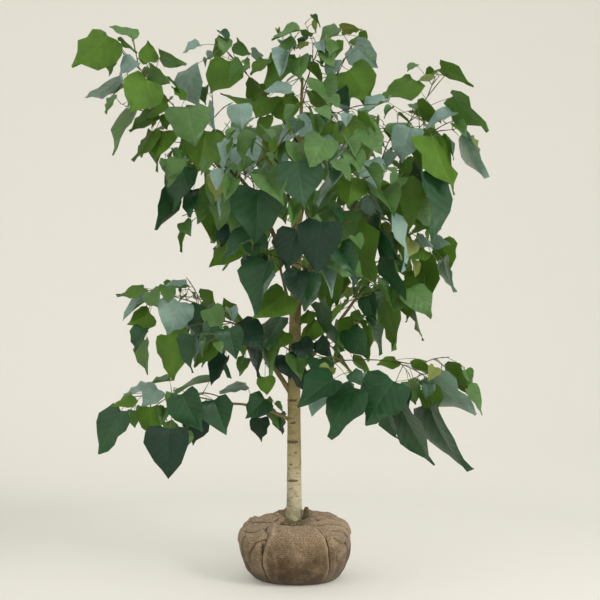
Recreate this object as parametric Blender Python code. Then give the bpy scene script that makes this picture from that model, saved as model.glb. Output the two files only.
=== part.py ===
"""Sapling with root ball: a young heart-leaved tree standing on its burlap-wrapped ball.

Metres, +Z up. The origin is on the ball's flat underside, below the middle of its belly. The tree
is seen from the front along +Y, with +X to the right. A limb runs from its host to a tip. A mass of
foliage is a stem whose side twigs and leaves follow one seeded rule. The leaves that make the
crown's outline are marked on the front elevation first, and the rule grows the rest round them.
"""
import math
import random
from dataclasses import dataclass, replace
from enum import Enum

import bmesh
import bpy
from mathutils import Matrix, Vector
from mathutils.bvhtree import BVHTree

UP = Vector((0.0, 0.0, 1.0))
CLEARANCE = 0.0004              # gap between pieces that meet

# ---- root ball ---------------------------------------------------------------------------
BALL_RADIUS = 0.198             # at its widest
BALL_SIDES = 24
SOIL_HEIGHT = 0.206             # the soil inside the collar, on which the trunk stands
BALL_PROFILE = (                # share of the radius, height: from the underside up to the collar
    (0.60, 0.000), (0.76, 0.006), (0.88, 0.030), (0.96, 0.070), (1.00, 0.118), (0.985, 0.160),
    (0.91, 0.194), (0.76, 0.211), (0.58, 0.219),
)
COLLAR_PROFILE = (              # radius, height: the cloth's gathered edge round the trunk
    (0.084, 0.222), (0.070, 0.230), (0.063, 0.226), (0.060, SOIL_HEIGHT),
)
COLLAR_TILT = 0.014             # the collar stands higher behind the trunk than in front
BALL_BASE_SHIFT = 0.012         # the underside sits a little to the right of the belly
LUMP_DEPTH = 0.035              # how far the belly swells and sinks, as a share of its radius
FOLD_DEPTH = 0.030              # the gathers of the cloth near the collar

# ---- trunk -------------------------------------------------------------------------------
TRUNK_X = -0.005
TRUNK_FOOT = SOIL_HEIGHT + CLEARANCE
TRUNK_TOP = 1.800
LEAN = 0.030                    # the top stands this far to the right of the foot
LEAN_START = 0.640              # height at which the lean begins
TRUNK_TAPER = (                 # height, radius: root flare, then an even taper to the tip
    (TRUNK_FOOT, 0.0290), (0.235, 0.0266), (0.300, 0.0250), (0.490, 0.0225), (1.000, 0.0190),
    (1.360, 0.0120), (1.570, 0.0078), (TRUNK_TOP, 0.0040),
)
TRUNK_SIDES = 10
TRUNK_STATIONS = 16
BOUGH_SIDES = 6

# ---- the front elevation, on which leaves are marked -------------------------------------
EYE = Vector((0.0162, -4.5, 1.0))
STEP = 0.0036                   # one step at the trunk's depth
EYE_PLACE = 300                 # column and row of the elevation in line with the eye
TIP_DIP = 0.02                  # the tip of a marked leaf lies this much nearer the front
MARK_FOLD = math.radians(12)
MARK_CURL = 0.04

STUB_FOOT = (0.034, -0.022)     # the cut stub beside the trunk's foot
STUB_HEIGHT = 0.052
STUB_RADIUS = 0.0115
STUB_LEAN = 0.006

# ---- leaves and twigs --------------------------------------------------------------------
LEAF_LENGTH = 0.125             # from the petiole to the tip of the blade
LEAF_SPREAD = 0.28              # leaves are up to this share longer or shorter
LEAF_THICKNESS = 0.018          # share of the leaf's length
HEART = (                       # half width and distance down the midrib, as shares of the length
    (0.00, 1.00), (0.18, 0.77), (0.48, 0.31), (0.30, -0.10), (0.00, 0.00),
)
WIDEST = 0.48                   # half of the blade's width
BLADE_CENTRE = 0.36             # where the two faces of a blade are thickest
PETIOLE_LENGTH = 0.075
PETIOLE_RADIUS = 0.0012
PETIOLE_FREE = 0.12             # share of the petiole that lies in or close to its twig
SHORTEST_PETIOLE = 0.012
LONGEST_PETIOLE = 0.24
DEPTH_SHIFTS = (0.0, -0.02, 0.02, -0.04, 0.04, -0.06, 0.06, -0.09, 0.09, 0.12, 0.15)
INTERNODE = 0.070               # distance between leaves along a twig
LAST_LEAF = 0.97                # place of the last leaf, as a share of the twig's length
DIVERGENCE = math.radians(144)  # turn from one leaf to the next round the twig
LEAF_AHEAD = 0.45               # how far a petiole leans on along its twig
LEAF_SAG = 0.15                 # how far it sags, before its mass's own droop
PETIOLE_SPREAD = (0.75, 1.15)   # shortest and longest petiole, as shares of PETIOLE_LENGTH
LIGHT = Vector((0.15, -1.0, 0.0)).normalized()
TURN_TO_LIGHT = 0.55            # how far blades turn towards the light
LIGHT_SPREAD = (0.4, 1.2)
LEAST_HANG = 26                 # degrees below level that a blade hangs
MOST_HANG = 70
LEAST_HANG_DROOP = 20           # degrees more for each unit of its mass's droop
MOST_HANG_DROOP = 14
BLADE_SPIN = 32                 # degrees that a blade turns in its plane, either way
BLADE_ROLL = 28                 # degrees that it rolls about its midrib, either way
FOLDS = (8, 14, 20, 26, 48)     # degrees that each half folds up
CURLS = (0.02, 0.16)            # how far tips bend back
TIP_LOSS = 0.25                 # leaves at a twig's tip are smaller by this share
STEM_BARE = 0.20                # share of a stem below its first leaf
TWIG_BARE = 0.35
MARK_STEM_BARE = 0.15           # the same for the petioles of marked leaves
MARK_TWIG_BARE = 0.30
MARK_PLACES = 12                # steps along a twig at which those may root
NARROWEST = 0.15                # a marked leaf is never seen narrower than this share of its width
TWIG_RADIUS = 0.0030
TWIG_TIP_RADIUS = 0.0020
SIDE_TWIG = 0.8                 # thickness of a side twig's foot beside its stem's
SIDE_TWIG_BOW = 0.008
SIDE_TWIGS_FROM = 0.28          # the stretch of the stem that bears side twigs
SIDE_TWIGS_ALONG = 0.52
LIMB_STATIONS = 5
TWIG_STATIONS = 2
CROWN_SEED = 1
TRIES = 7                       # turns that a leaf tries before it is skipped
SHY = 1.06                      # a leaf is tested this much larger than it is
SHY_THICKNESS = 0.007
ROOM = 0.001                    # wood is tested this much thicker than it is


class Tone(Enum):
    """How a marked leaf looks from the front."""
    DEEP = "deep"
    DARK = "dark"
    MID = "mid"
    SHEEN = "sheen"
    BRIGHT = "bright"
    YOUNG = "young"


UNDERSIDES = (Tone.BRIGHT, Tone.YOUNG)      # these turn their underside to the front


@dataclass(frozen=True)
class Limb:
    """A tapering limb, from a place on its host to its tip."""
    name: str
    host: str
    at: float                   # place on the host, as a share of its length
    tip: tuple
    bow: float                  # rise of its middle above a straight line
    foot_radius: float
    tip_radius: float


@dataclass(frozen=True)
class Spray:
    """A mass of foliage: a stem from its host to its tip, with side twigs and leaves."""
    name: str
    host: str
    at: float
    tip: tuple
    reach: float                # radius of the mass's own space round its stem
    twigs: int
    fill: int                   # most leaves that it grows besides the marked ones
    bow: float
    droop: float                # pull on its twigs and petioles, down
    leaf_size: float


@dataclass(frozen=True)
class Mark:
    """A leaf set out on the front elevation, in its steps; the growth then works round it."""
    base_column: float
    base_row: float
    tip_column: float
    tip_row: float
    width: float                # as it looks from the front
    depth: float                # of the blade's base, behind the trunk, in metres
    tone: Tone
    side: int = 1               # 1 or -1: which half turns away from the front


BOUGHS = (
    Limb("bough_left_main", "trunk", 0.525, (-0.160, -0.05, 1.390), 0.020, 0.0095, 0.0070),
    Limb("bough_left_upper", "bough_left_main", 1.0, (-0.320, -0.08, 1.560), 0.005, 0.0066, 0.0042),
    Limb("bough_left_slender", "trunk", 0.845, (-0.095, 0.05, 1.730), 0.000, 0.0045, 0.0034),
    Limb("bough_right_centre", "trunk", 0.765, (0.095, -0.05, 1.685), 0.000, 0.0055, 0.0038),
    Limb("bough_right_main", "trunk", 0.530, (0.180, 0.00, 1.280), -0.010, 0.0085, 0.0066),
    Limb("bough_right_upper", "bough_right_main", 1.0, (0.345, -0.03, 1.545), 0.020, 0.0062, 0.0040),
    Limb("bough_right_middle", "trunk", 0.325, (0.240, 0.05, 1.035), -0.010, 0.0085, 0.0050),
    Limb("bough_left_tier", "trunk", 0.275, (-0.180, -0.03, 0.900), 0.010, 0.0100, 0.0060),
    Limb("bough_left_low", "trunk", 0.222, (-0.250, -0.03, 0.630), 0.018, 0.0070, 0.0042),
    Limb("bough_right_low", "trunk", 0.315, (0.175, -0.05, 0.785), 0.015, 0.0070, 0.0044),
    Limb("bough_back_high", "trunk", 0.640, (0.060, 0.30, 1.500), 0.010, 0.0070, 0.0045),
    Limb("bough_back_low", "trunk", 0.420, (-0.060, 0.30, 1.120), 0.010, 0.0075, 0.0046),
    Limb("bough_front_high", "trunk", 0.600, (-0.030, -0.26, 1.400), 0.010, 0.0068, 0.0044),
    Limb("bough_front_low", "trunk", 0.440, (0.060, -0.24, 1.150), 0.010, 0.0068, 0.0044),
)

SPRAYS = (
    Spray("foliage_top_left", "bough_left_upper", 1.000, (-0.665, -0.14, 1.925),
          0.155, 2, 2, 0.01, 0.0, 1.10),
    Spray("foliage_shoulder_high", "bough_left_upper", 0.900, (-0.615, 0.02, 1.700),
          0.150, 2, 2, 0.02, 0.1, 1.05),
    Spray("foliage_left_bunch", "bough_left_upper", 0.780, (-0.305, 0.06, 1.765),
          0.130, 1, 2, 0.00, 0.0, 0.95),
    Spray("foliage_left_back", "bough_left_upper", 0.600, (-0.350, 0.30, 1.575),
          0.170, 2, 8, 0.02, 0.0, 1.00),
    Spray("foliage_shoulder", "bough_left_main", 0.950, (-0.435, -0.10, 1.465),
          0.160, 2, 3, 0.03, 0.3, 1.15),
    Spray("foliage_left_front", "bough_left_main", 0.900, (-0.165, -0.34, 1.425),
          0.170, 2, 4, 0.04, 0.1, 1.20),
    Spray("foliage_left_under", "bough_left_main", 0.800, (-0.340, 0.04, 1.310),
          0.160, 2, 2, 0.03, 0.4, 1.15),
    Spray("foliage_slender_left", "bough_left_slender", 1.000, (-0.270, 0.05, 1.925),
          0.130, 1, 2, 0.00, 0.0, 0.95),
    Spray("foliage_leader_left", "trunk", 0.985, (-0.045, 0.00, 1.930),
          0.120, 1, 3, 0.00, 0.0, 0.85),
    Spray("foliage_leader_right", "trunk", 0.965, (0.095, -0.04, 1.935),
          0.120, 1, 3, 0.00, 0.0, 0.90),
    Spray("foliage_leader_back", "trunk", 0.925, (0.055, 0.20, 1.865),
          0.140, 1, 6, 0.00, 0.0, 0.95),
    Spray("foliage_right_centre_top", "bough_right_centre", 1.000, (0.200, -0.05, 1.910),
          0.140, 2, 2, 0.00, 0.0, 1.00),
    Spray("foliage_right_centre_front", "bough_right_centre", 0.860, (0.170, -0.28, 1.615),
          0.160, 2, 4, 0.02, 0.0, 1.05),
    Spray("foliage_right_top", "bough_right_upper", 1.000, (0.540, -0.03, 1.810),
          0.150, 2, 1, 0.01, 0.0, 1.15),
    Spray("foliage_right_far", "bough_right_upper", 0.920, (0.560, -0.10, 1.600),
          0.150, 2, 1, 0.02, 0.2, 1.15),
    Spray("foliage_right_back", "bough_right_upper", 0.800, (0.400, 0.28, 1.670),
          0.160, 2, 8, 0.02, 0.0, 1.00),
    Spray("foliage_right_shoulder", "bough_right_upper", 0.660, (0.430, -0.14, 1.400),
          0.160, 2, 2, 0.03, 0.4, 1.10),
    Spray("foliage_right_hanging", "bough_right_main", 0.940, (0.335, -0.20, 1.270),
          0.160, 2, 2, 0.03, 0.5, 1.15),
    Spray("foliage_right_front", "bough_right_main", 0.880, (0.185, -0.34, 1.415),
          0.170, 2, 5, 0.03, 0.1, 1.10),
    Spray("foliage_right_behind", "bough_right_main", 0.760, (0.255, 0.28, 1.380),
          0.170, 2, 9, 0.02, 0.0, 1.00),
    Spray("foliage_right_middle_far", "bough_right_middle", 1.000, (0.530, 0.05, 1.225),
          0.150, 2, 3, 0.02, 0.2, 1.00),
    Spray("foliage_right_middle_low", "bough_right_middle", 0.900, (0.395, -0.12, 1.030),
          0.150, 2, 2, 0.02, 0.4, 1.05),
    Spray("foliage_right_middle_back", "bough_right_middle", 0.780, (0.275, 0.30, 1.000),
          0.150, 2, 7, 0.02, 0.1, 1.00),
    Spray("foliage_right_inner", "bough_right_middle", 0.550, (0.225, -0.14, 0.925),
          0.140, 1, 2, 0.02, 0.3, 1.00),
    Spray("foliage_left_tier_far", "bough_left_tier", 1.000, (-0.570, -0.04, 1.030),
          0.170, 2, 2, 0.03, 0.5, 0.95),
    Spray("foliage_left_tier_front", "bough_left_tier", 0.900, (-0.325, -0.26, 0.915),
          0.160, 2, 3, 0.03, 0.6, 1.00),
    Spray("foliage_left_tier_back", "bough_left_tier", 0.800, (-0.305, 0.24, 0.915),
          0.150, 2, 7, 0.03, 0.5, 0.95),
    Spray("foliage_left_low_far", "bough_left_low", 1.000, (-0.590, -0.08, 0.655),
          0.170, 1, 1, 0.02, 0.8, 1.05),
    Spray("foliage_left_low_front", "bough_left_low", 0.920, (-0.405, -0.16, 0.655),
          0.190, 1, 0, 0.03, 0.9, 1.30),
    Spray("foliage_left_low_near", "bough_left_low", 0.660, (-0.125, 0.10, 0.605),
          0.130, 0, 1, 0.01, 0.5, 0.75),
    Spray("foliage_right_low_far", "bough_right_low", 1.000, (0.560, -0.08, 0.735),
          0.200, 2, 0, 0.02, 0.8, 1.15),
    Spray("foliage_right_low_front", "bough_right_low", 0.800, (0.185, -0.26, 0.750),
          0.170, 1, 2, 0.03, 0.7, 1.25),
    Spray("foliage_back_high_left", "bough_back_high", 1.000, (-0.105, 0.48, 1.675),
          0.170, 2, 9, 0.02, 0.0, 1.00),
    Spray("foliage_back_high_right", "bough_back_high", 0.880, (0.195, 0.46, 1.585),
          0.170, 2, 9, 0.02, 0.0, 1.00),
    Spray("foliage_back_low_left", "bough_back_low", 1.000, (-0.210, 0.44, 1.270),
          0.160, 2, 8, 0.02, 0.1, 1.00),
    Spray("foliage_back_low_right", "bough_back_low", 0.880, (0.095, 0.52, 1.220),
          0.170, 2, 8, 0.02, 0.1, 1.00),
    Spray("foliage_front_high_left", "bough_front_high", 1.000, (-0.095, -0.46, 1.485),
          0.170, 2, 6, 0.02, 0.0, 1.10),
    Spray("foliage_front_high_right", "bough_front_high", 0.860, (0.095, -0.44, 1.455),
          0.160, 2, 5, 0.02, 0.0, 1.10),
    Spray("foliage_front_low", "bough_front_low", 1.000, (0.080, -0.44, 1.225),
          0.160, 2, 4, 0.02, 0.2, 1.15),
    Spray("foliage_front_low_left", "bough_front_low", 0.800, (-0.110, -0.32, 1.125),
          0.150, 1, 2, 0.02, 0.3, 1.10),
    Spray("foliage_inner_left", "trunk", 0.375, (-0.155, -0.08, 0.860),
          0.120, 1, 3, 0.02, 0.3, 0.80),
    Spray("foliage_inner_right", "trunk", 0.330, (0.095, -0.10, 0.825),
          0.130, 1, 3, 0.02, 0.4, 0.90),
)

MARKS = (
    Mark(108, 36, 75, 69, 35, -0.15, Tone.BRIGHT),
    Mark(111, 49, 106, 76, 18, -0.17, Tone.BRIGHT, -1),
    Mark(134, 40, 112, 24, 9, -0.16, Tone.MID),
    Mark(135, 60, 119, 72, 15, -0.16, Tone.SHEEN),
    Mark(150, 62, 147, 41, 18, -0.12, Tone.BRIGHT),
    Mark(160, 56, 183, 68, 12, -0.10, Tone.MID),
    Mark(150, 69, 168, 84, 15, -0.12, Tone.MID),
    Mark(148, 80, 129, 114, 41, -0.18, Tone.BRIGHT),
    Mark(122, 78, 92, 103, 10, -0.14, Tone.SHEEN, -1),
    Mark(121, 42, 139, 49, 8, -0.08, Tone.BRIGHT),
    Mark(160, 101, 149, 121, 14, -0.08, Tone.BRIGHT),
    Mark(134, 112, 110, 152, 13, -0.10, Tone.MID),
    Mark(152, 112, 133, 134, 15, -0.06, Tone.BRIGHT),
    Mark(152, 131, 136, 162, 12, -0.06, Tone.BRIGHT),
    Mark(163, 131, 157, 159, 23, -0.08, Tone.BRIGHT),
    Mark(164, 114, 168, 130, 15, -0.02, Tone.BRIGHT),
    Mark(186, 70, 194, 109, 25, 0.02, Tone.SHEEN),
    Mark(184, 110, 194, 120, 13, 0.03, Tone.BRIGHT),
    Mark(186, 96, 171, 88, 8, 0.02, Tone.BRIGHT),
    Mark(228, 61, 214, 96, 32, 0.02, Tone.BRIGHT),
    Mark(205, 87, 203, 103, 12, 0.05, Tone.MID),
    Mark(206, 118, 198, 130, 8, 0.00, Tone.BRIGHT),
    Mark(188, 130, 182, 161, 20, -0.08, Tone.BRIGHT),
    Mark(206, 131, 198, 172, 42, -0.12, Tone.BRIGHT, -1),
    Mark(186, 168, 168, 206, 28, -0.14, Tone.DARK),
    Mark(173, 193, 164, 230, 22, -0.12, Tone.DARK, -1),
    Mark(193, 190, 186, 215, 14, -0.10, Tone.DARK),
    Mark(219, 190, 206, 241, 38, 0.00, Tone.BRIGHT, -1),
    Mark(232, 242, 212, 269, 26, -0.02, Tone.BRIGHT),
    Mark(230, 226, 221, 246, 17, -0.06, Tone.DEEP),
    Mark(258, 190, 256, 242, 50, -0.36, Tone.DARK),
    Mark(244, 139, 250, 173, 40, -0.30, Tone.SHEEN),
    Mark(252, 228, 219, 256, 14, -0.34, Tone.DARK),
    Mark(240, 104, 242, 128, 25, -0.22, Tone.SHEEN),
    Mark(200, 45, 183, 50, 8, 0.04, Tone.SHEEN),
    Mark(215, 36, 199, 47, 12, 0.03, Tone.BRIGHT),
    Mark(220, 43, 211, 60, 12, 0.08, Tone.BRIGHT, -1),
    Mark(231, 44, 224, 36, 9, 0.05, Tone.YOUNG),
    Mark(237, 42, 249, 55, 13, 0.04, Tone.MID),
    Mark(252, 52, 262, 57, 9, 0.06, Tone.SHEEN),
    Mark(300, 30, 272, 38, 10, 0.00, Tone.MID),
    Mark(296, 44, 277, 47, 9, -0.02, Tone.MID),
    Mark(283, 58, 272, 96, 27, -0.04, Tone.BRIGHT),
    Mark(291, 91, 265, 88, 9, -0.06, Tone.SHEEN),
    Mark(268, 97, 257, 119, 20, 0.03, Tone.BRIGHT),
    Mark(264, 117, 259, 141, 15, 0.00, Tone.BRIGHT),
    Mark(302, 124, 275, 140, 15, -0.08, Tone.SHEEN),
    Mark(301, 31, 315, 34, 6, -0.02, Tone.MID),
    Mark(252, 99, 221, 96, 7, 0.04, Tone.BRIGHT),
    Mark(264, 59, 252, 76, 13, 0.00, Tone.BRIGHT),
    Mark(283, 97, 287, 126, 38, 0.02, Tone.BRIGHT),
    Mark(304, 42, 297, 51, 8, -0.04, Tone.YOUNG),
    Mark(333, 41, 324, 66, 21, -0.05, Tone.BRIGHT),
    Mark(338, 28, 318, 38, 10, -0.03, Tone.MID),
    Mark(342, 30, 362, 27, 13, -0.05, Tone.YOUNG),
    Mark(313, 114, 305, 140, 25, -0.02, Tone.BRIGHT),
    Mark(355, 46, 375, 68, 27, -0.06, Tone.SHEEN),
    Mark(358, 36, 368, 50, 14, -0.03, Tone.BRIGHT),
    Mark(349, 70, 373, 103, 40, -0.08, Tone.BRIGHT),
    Mark(335, 60, 328, 78, 14, -0.06, Tone.SHEEN),
    Mark(318, 93, 352, 122, 18, -0.22, Tone.SHEEN),
    Mark(386, 100, 353, 119, 12, -0.20, Tone.SHEEN),
    Mark(336, 122, 328, 152, 30, -0.16, Tone.BRIGHT),
    Mark(341, 89, 347, 107, 15, -0.12, Tone.DARK),
    Mark(364, 119, 354, 149, 30, -0.10, Tone.BRIGHT),
    Mark(332, 184, 318, 208, 20, -0.20, Tone.BRIGHT),
    Mark(346, 162, 334, 183, 20, -0.20, Tone.BRIGHT),
    Mark(340, 146, 314, 176, 26, -0.26, Tone.SHEEN),
    Mark(413, 79, 384, 104, 26, -0.04, Tone.BRIGHT),
    Mark(441, 68, 475, 81, 14, -0.05, Tone.BRIGHT),
    Mark(448, 74, 436, 105, 28, -0.06, Tone.BRIGHT),
    Mark(430, 74, 417, 82, 8, -0.02, Tone.YOUNG),
    Mark(416, 64, 407, 69, 6, 0.00, Tone.MID),
    Mark(418, 107, 443, 118, 16, -0.08, Tone.BRIGHT),
    Mark(453, 96, 482, 134, 20, -0.10, Tone.MID),
    Mark(432, 136, 452, 194, 30, -0.14, Tone.BRIGHT, -1),
    Mark(460, 137, 477, 180, 12, -0.08, Tone.SHEEN),
    Mark(410, 128, 400, 160, 30, -0.14, Tone.SHEEN),
    Mark(394, 152, 384, 167, 12, -0.12, Tone.SHEEN),
    Mark(404, 160, 405, 185, 13, -0.10, Tone.BRIGHT),
    Mark(452, 112, 425, 125, 13, -0.12, Tone.SHEEN),
    Mark(396, 184, 408, 233, 45, -0.18, Tone.BRIGHT),
    Mark(413, 160, 423, 191, 12, -0.16, Tone.DARK),
    Mark(422, 172, 443, 234, 22, -0.20, Tone.DARK, -1),
    Mark(370, 160, 376, 188, 32, -0.22, Tone.SHEEN),
    Mark(377, 214, 398, 268, 16, -0.30, Tone.DARK),
    Mark(387, 214, 411, 266, 12, -0.26, Tone.SHEEN, -1),
    Mark(351, 232, 382, 281, 34, -0.24, Tone.BRIGHT),
    Mark(370, 196, 378, 220, 15, -0.26, Tone.SHEEN),
    Mark(392, 250, 404, 300, 15, -0.24, Tone.DARK),
    Mark(352, 178, 348, 208, 34, -0.34, Tone.BRIGHT),
    Mark(345, 160, 312, 198, 14, -0.36, Tone.SHEEN),
    Mark(440, 243, 453, 270, 24, 0.02, Tone.BRIGHT),
    Mark(443, 259, 451, 292, 12, 0.04, Tone.SHEEN),
    Mark(418, 261, 437, 313, 24, 0.03, Tone.BRIGHT),
    Mark(413, 222, 428, 228, 12, 0.04, Tone.BRIGHT),
    Mark(425, 224, 411, 236, 10, 0.00, Tone.BRIGHT),
    Mark(418, 210, 436, 232, 12, 0.02, Tone.SHEEN),
    Mark(432, 238, 449, 246, 12, 0.01, Tone.SHEEN),
    Mark(416, 238, 431, 248, 12, -0.02, Tone.SHEEN),
    Mark(425, 250, 404, 258, 12, 0.00, Tone.BRIGHT),
    Mark(412, 271, 420, 301, 18, 0.02, Tone.BRIGHT),
    Mark(400, 236, 416, 248, 13, 0.00, Tone.BRIGHT),
    Mark(399, 283, 411, 320, 23, -0.06, Tone.BRIGHT),
    Mark(413, 300, 420, 340, 8, -0.04, Tone.DARK),
    Mark(385, 303, 401, 347, 24, -0.10, Tone.BRIGHT),
    Mark(368, 296, 374, 321, 20, -0.12, Tone.DARK),
    Mark(350, 329, 362, 359, 22, -0.16, Tone.DARK),
    Mark(364, 329, 372, 360, 13, -0.14, Tone.BRIGHT),
    Mark(327, 273, 332, 312, 26, -0.12, Tone.BRIGHT),
    Mark(340, 262, 326, 272, 10, -0.08, Tone.BRIGHT),
    Mark(310, 311, 301, 326, 12, -0.04, Tone.BRIGHT),
    Mark(318, 340, 330, 357, 17, -0.14, Tone.DEEP),
    Mark(321, 302, 335, 352, 16, -0.18, Tone.DARK),
    Mark(316, 320, 301, 343, 18, -0.06, Tone.BRIGHT),
    Mark(340, 276, 338, 301, 17, -0.05, Tone.BRIGHT),
    Mark(338, 320, 341, 357, 22, -0.10, Tone.BRIGHT),
    Mark(144, 288, 120, 301, 11, -0.04, Tone.BRIGHT),
    Mark(179, 302, 168, 337, 46, -0.16, Tone.SHEEN),
    Mark(150, 313, 128, 326, 22, -0.08, Tone.BRIGHT),
    Mark(143, 328, 133, 350, 17, -0.10, Tone.DARK),
    Mark(146, 340, 141, 373, 11, -0.06, Tone.MID),
    Mark(150, 299, 121, 315, 6, -0.08, Tone.SHEEN),
    Mark(164, 285, 176, 303, 13, -0.02, Tone.BRIGHT),
    Mark(168, 335, 177, 379, 35, -0.24, Tone.BRIGHT),
    Mark(193, 336, 188, 371, 19, -0.28, Tone.DARK),
    Mark(212, 338, 200, 369, 17, -0.24, Tone.BRIGHT),
    Mark(229, 329, 236, 358, 33, -0.30, Tone.DARK),
    Mark(212, 324, 207, 340, 17, -0.26, Tone.DARK),
    Mark(227, 357, 210, 384, 15, -0.22, Tone.DEEP),
    Mark(200, 295, 221, 306, 12, 0.12, Tone.BRIGHT),
    Mark(200, 310, 225, 330, 14, 0.02, Tone.BRIGHT),
    Mark(186, 288, 160, 287, 6, 0.00, Tone.SHEEN),
    Mark(222, 308, 247, 321, 14, 0.10, Tone.BRIGHT),
    Mark(121, 411, 97, 452, 26, -0.14, Tone.DARK),
    Mark(131, 394, 112, 408, 14, -0.10, Tone.BRIGHT),
    Mark(158, 389, 142, 406, 24, -0.12, Tone.SHEEN),
    Mark(150, 388, 124, 391, 10, -0.08, Tone.SHEEN),
    Mark(170, 381, 143, 383, 5, -0.06, Tone.MID),
    Mark(150, 407, 151, 437, 28, -0.12, Tone.BRIGHT),
    Mark(182, 394, 199, 431, 36, -0.24, Tone.DARK),
    Mark(169, 429, 166, 478, 44, -0.30, Tone.DEEP),
    Mark(214, 400, 226, 434, 37, -0.20, Tone.DARK),
    Mark(212, 377, 174, 384, 7, -0.14, Tone.MID),
    Mark(265, 399, 246, 418, 26, 0.02, Tone.DARK),
    Mark(261, 418, 260, 441, 19, 0.00, Tone.DEEP),
    Mark(281, 413, 280, 434, 13, 0.04, Tone.DARK),
    Mark(246, 385, 220, 387, 8, 0.04, Tone.SHEEN),
    Mark(402, 410, 429, 466, 25, -0.16, Tone.DARK),
    Mark(429, 408, 454, 475, 27, -0.16, Tone.DARK),
    Mark(431, 377, 468, 420, 30, -0.14, Tone.SHEEN),
    Mark(353, 360, 372, 372, 9, -0.04, Tone.BRIGHT),
    Mark(334, 358, 355, 373, 8, -0.02, Tone.BRIGHT),
    Mark(456, 377, 470, 392, 12, -0.08, Tone.BRIGHT),
    Mark(412, 367, 437, 372, 9, -0.06, Tone.BRIGHT),
    Mark(427, 389, 437, 415, 24, -0.10, Tone.BRIGHT),
    Mark(445, 367, 469, 390, 10, -0.06, Tone.BRIGHT),
    Mark(396, 360, 378, 368, 12, -0.06, Tone.BRIGHT),
    Mark(386, 413, 395, 440, 14, -0.12, Tone.DARK),
    Mark(334, 379, 297, 404, 28, -0.28, Tone.DARK),
    Mark(355, 388, 322, 430, 30, -0.30, Tone.DARK),
    Mark(393, 381, 365, 423, 44, -0.26, Tone.DARK),
    Mark(298, 162, 304, 206, 46, -0.48, Tone.DARK),
    Mark(322, 222, 312, 270, 40, -0.44, Tone.DEEP),
    Mark(297, 231, 284, 270, 32, -0.42, Tone.DEEP),
    Mark(268, 262, 252, 312, 30, -0.32, Tone.DARK),
    Mark(285, 293, 254, 319, 32, -0.30, Tone.BRIGHT),
    Mark(297, 272, 297, 300, 30, -0.36, Tone.DEEP),
    Mark(255, 257, 258, 286, 28, -0.30, Tone.DEEP),
    Mark(265, 377, 267, 395, 18, -0.10, Tone.BRIGHT),
    Mark(285, 332, 272, 351, 17, -0.12, Tone.BRIGHT),
    Mark(281, 317, 264, 346, 16, -0.16, Tone.DARK),
    Mark(256, 343, 254, 376, 15, -0.10, Tone.DEEP),
    Mark(246, 358, 238, 374, 13, -0.06, Tone.MID),
    Mark(270, 340, 266, 374, 14, -0.08, Tone.MID),
    Mark(300, 341, 312, 360, 22, -0.12, Tone.DEEP),
    Mark(298, 368, 302, 392, 16, -0.10, Tone.DEEP),
)


# ---- lines -------------------------------------------------------------------------------
def interpolate(table, value):
    """Read a table of (key, amount) pairs at a value between its keys."""
    for (low, first), (high, last) in zip(table, table[1:]):
        if value <= high:
            share = (value - low) / (high - low)
            return first + (last - first) * share
    return table[-1][1]


class Line:
    """The bent centre line of a limb or twig, with a radius at each of its points."""

    def __init__(self, points, radii, foot_heading=None):
        self.points = points
        self.radii = radii
        self.foot_heading = foot_heading    # the way that the cut at its foot faces
        self.length = sum((b - a).length for a, b in zip(points, points[1:]))

    def place(self, share):
        """Point and direction at a share of the line's length."""
        left = max(0.0, min(1.0, share)) * self.length
        for start, end in zip(self.points, self.points[1:]):
            step = end - start
            if left <= step.length or end is self.points[-1]:
                return start + step.normalized() * left, step.normalized()
            left -= step.length
        return self.points[-1].copy(), (self.points[-1] - self.points[-2]).normalized()


def bent_line(foot, tip, bow, foot_radius, tip_radius, stations, foot_heading=None):
    """A line from foot to tip whose middle rises by bow, thinning evenly."""
    points = []
    radii = []
    for index in range(stations + 1):
        share = index / stations
        rise = UP * (bow * 4.0 * share * (1.0 - share))
        points.append(foot.lerp(tip, share) + rise)
        radii.append(foot_radius + (tip_radius - foot_radius) * share)
    return Line(points, radii, foot_heading)


def trunk_line():
    """The trunk's line: upright, then leaning to the right above LEAN_START."""
    points = []
    radii = []
    heights = [TRUNK_FOOT, 0.235, 0.265]
    rest = TRUNK_STATIONS - len(heights)
    heights += [0.300 + (TRUNK_TOP - 0.300) * index / rest for index in range(rest + 1)]
    for height in heights:
        share = max(0.0, (height - LEAN_START) / (TRUNK_TOP - LEAN_START))
        points.append(Vector((TRUNK_X + LEAN * share ** 1.4, 0.0, height)))
        radii.append(interpolate(TRUNK_TAPER, height))
    return Line(points, radii)


# ---- shapes ------------------------------------------------------------------------------
def ring_headings(line):
    """The way that each ring of a tube faces: mitred at the bends, square or as given at the foot."""
    steps = [(b - a).normalized() for a, b in zip(line.points, line.points[1:])]
    bends = [(a + b).normalized() for a, b in zip(steps, steps[1:])]
    return [line.foot_heading or steps[0]] + bends + [steps[-1]]


def add_tube(mesh, line, sides, grow=0.0):
    """Skin a closed tapering tube round a line: a ring at each point, bridged to the next."""
    headings = ring_headings(line)
    turn = UP.rotation_difference(headings[0])
    last_ring = None
    for index, point in enumerate(line.points):
        if index:
            turn = headings[index - 1].rotation_difference(headings[index]) @ turn
        is_end = index in (0, len(line.points) - 1)
        placing = Matrix.Translation(point) @ turn.to_matrix().to_4x4()
        made = bmesh.ops.create_circle(
            mesh, cap_ends=is_end, segments=sides, radius=line.radii[index] + grow, matrix=placing)
        ring = {edge for vert in made["verts"] for edge in vert.link_edges}
        if last_ring:
            bmesh.ops.bridge_loops(mesh, edges=list(last_ring | ring))
        last_ring = ring


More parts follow.
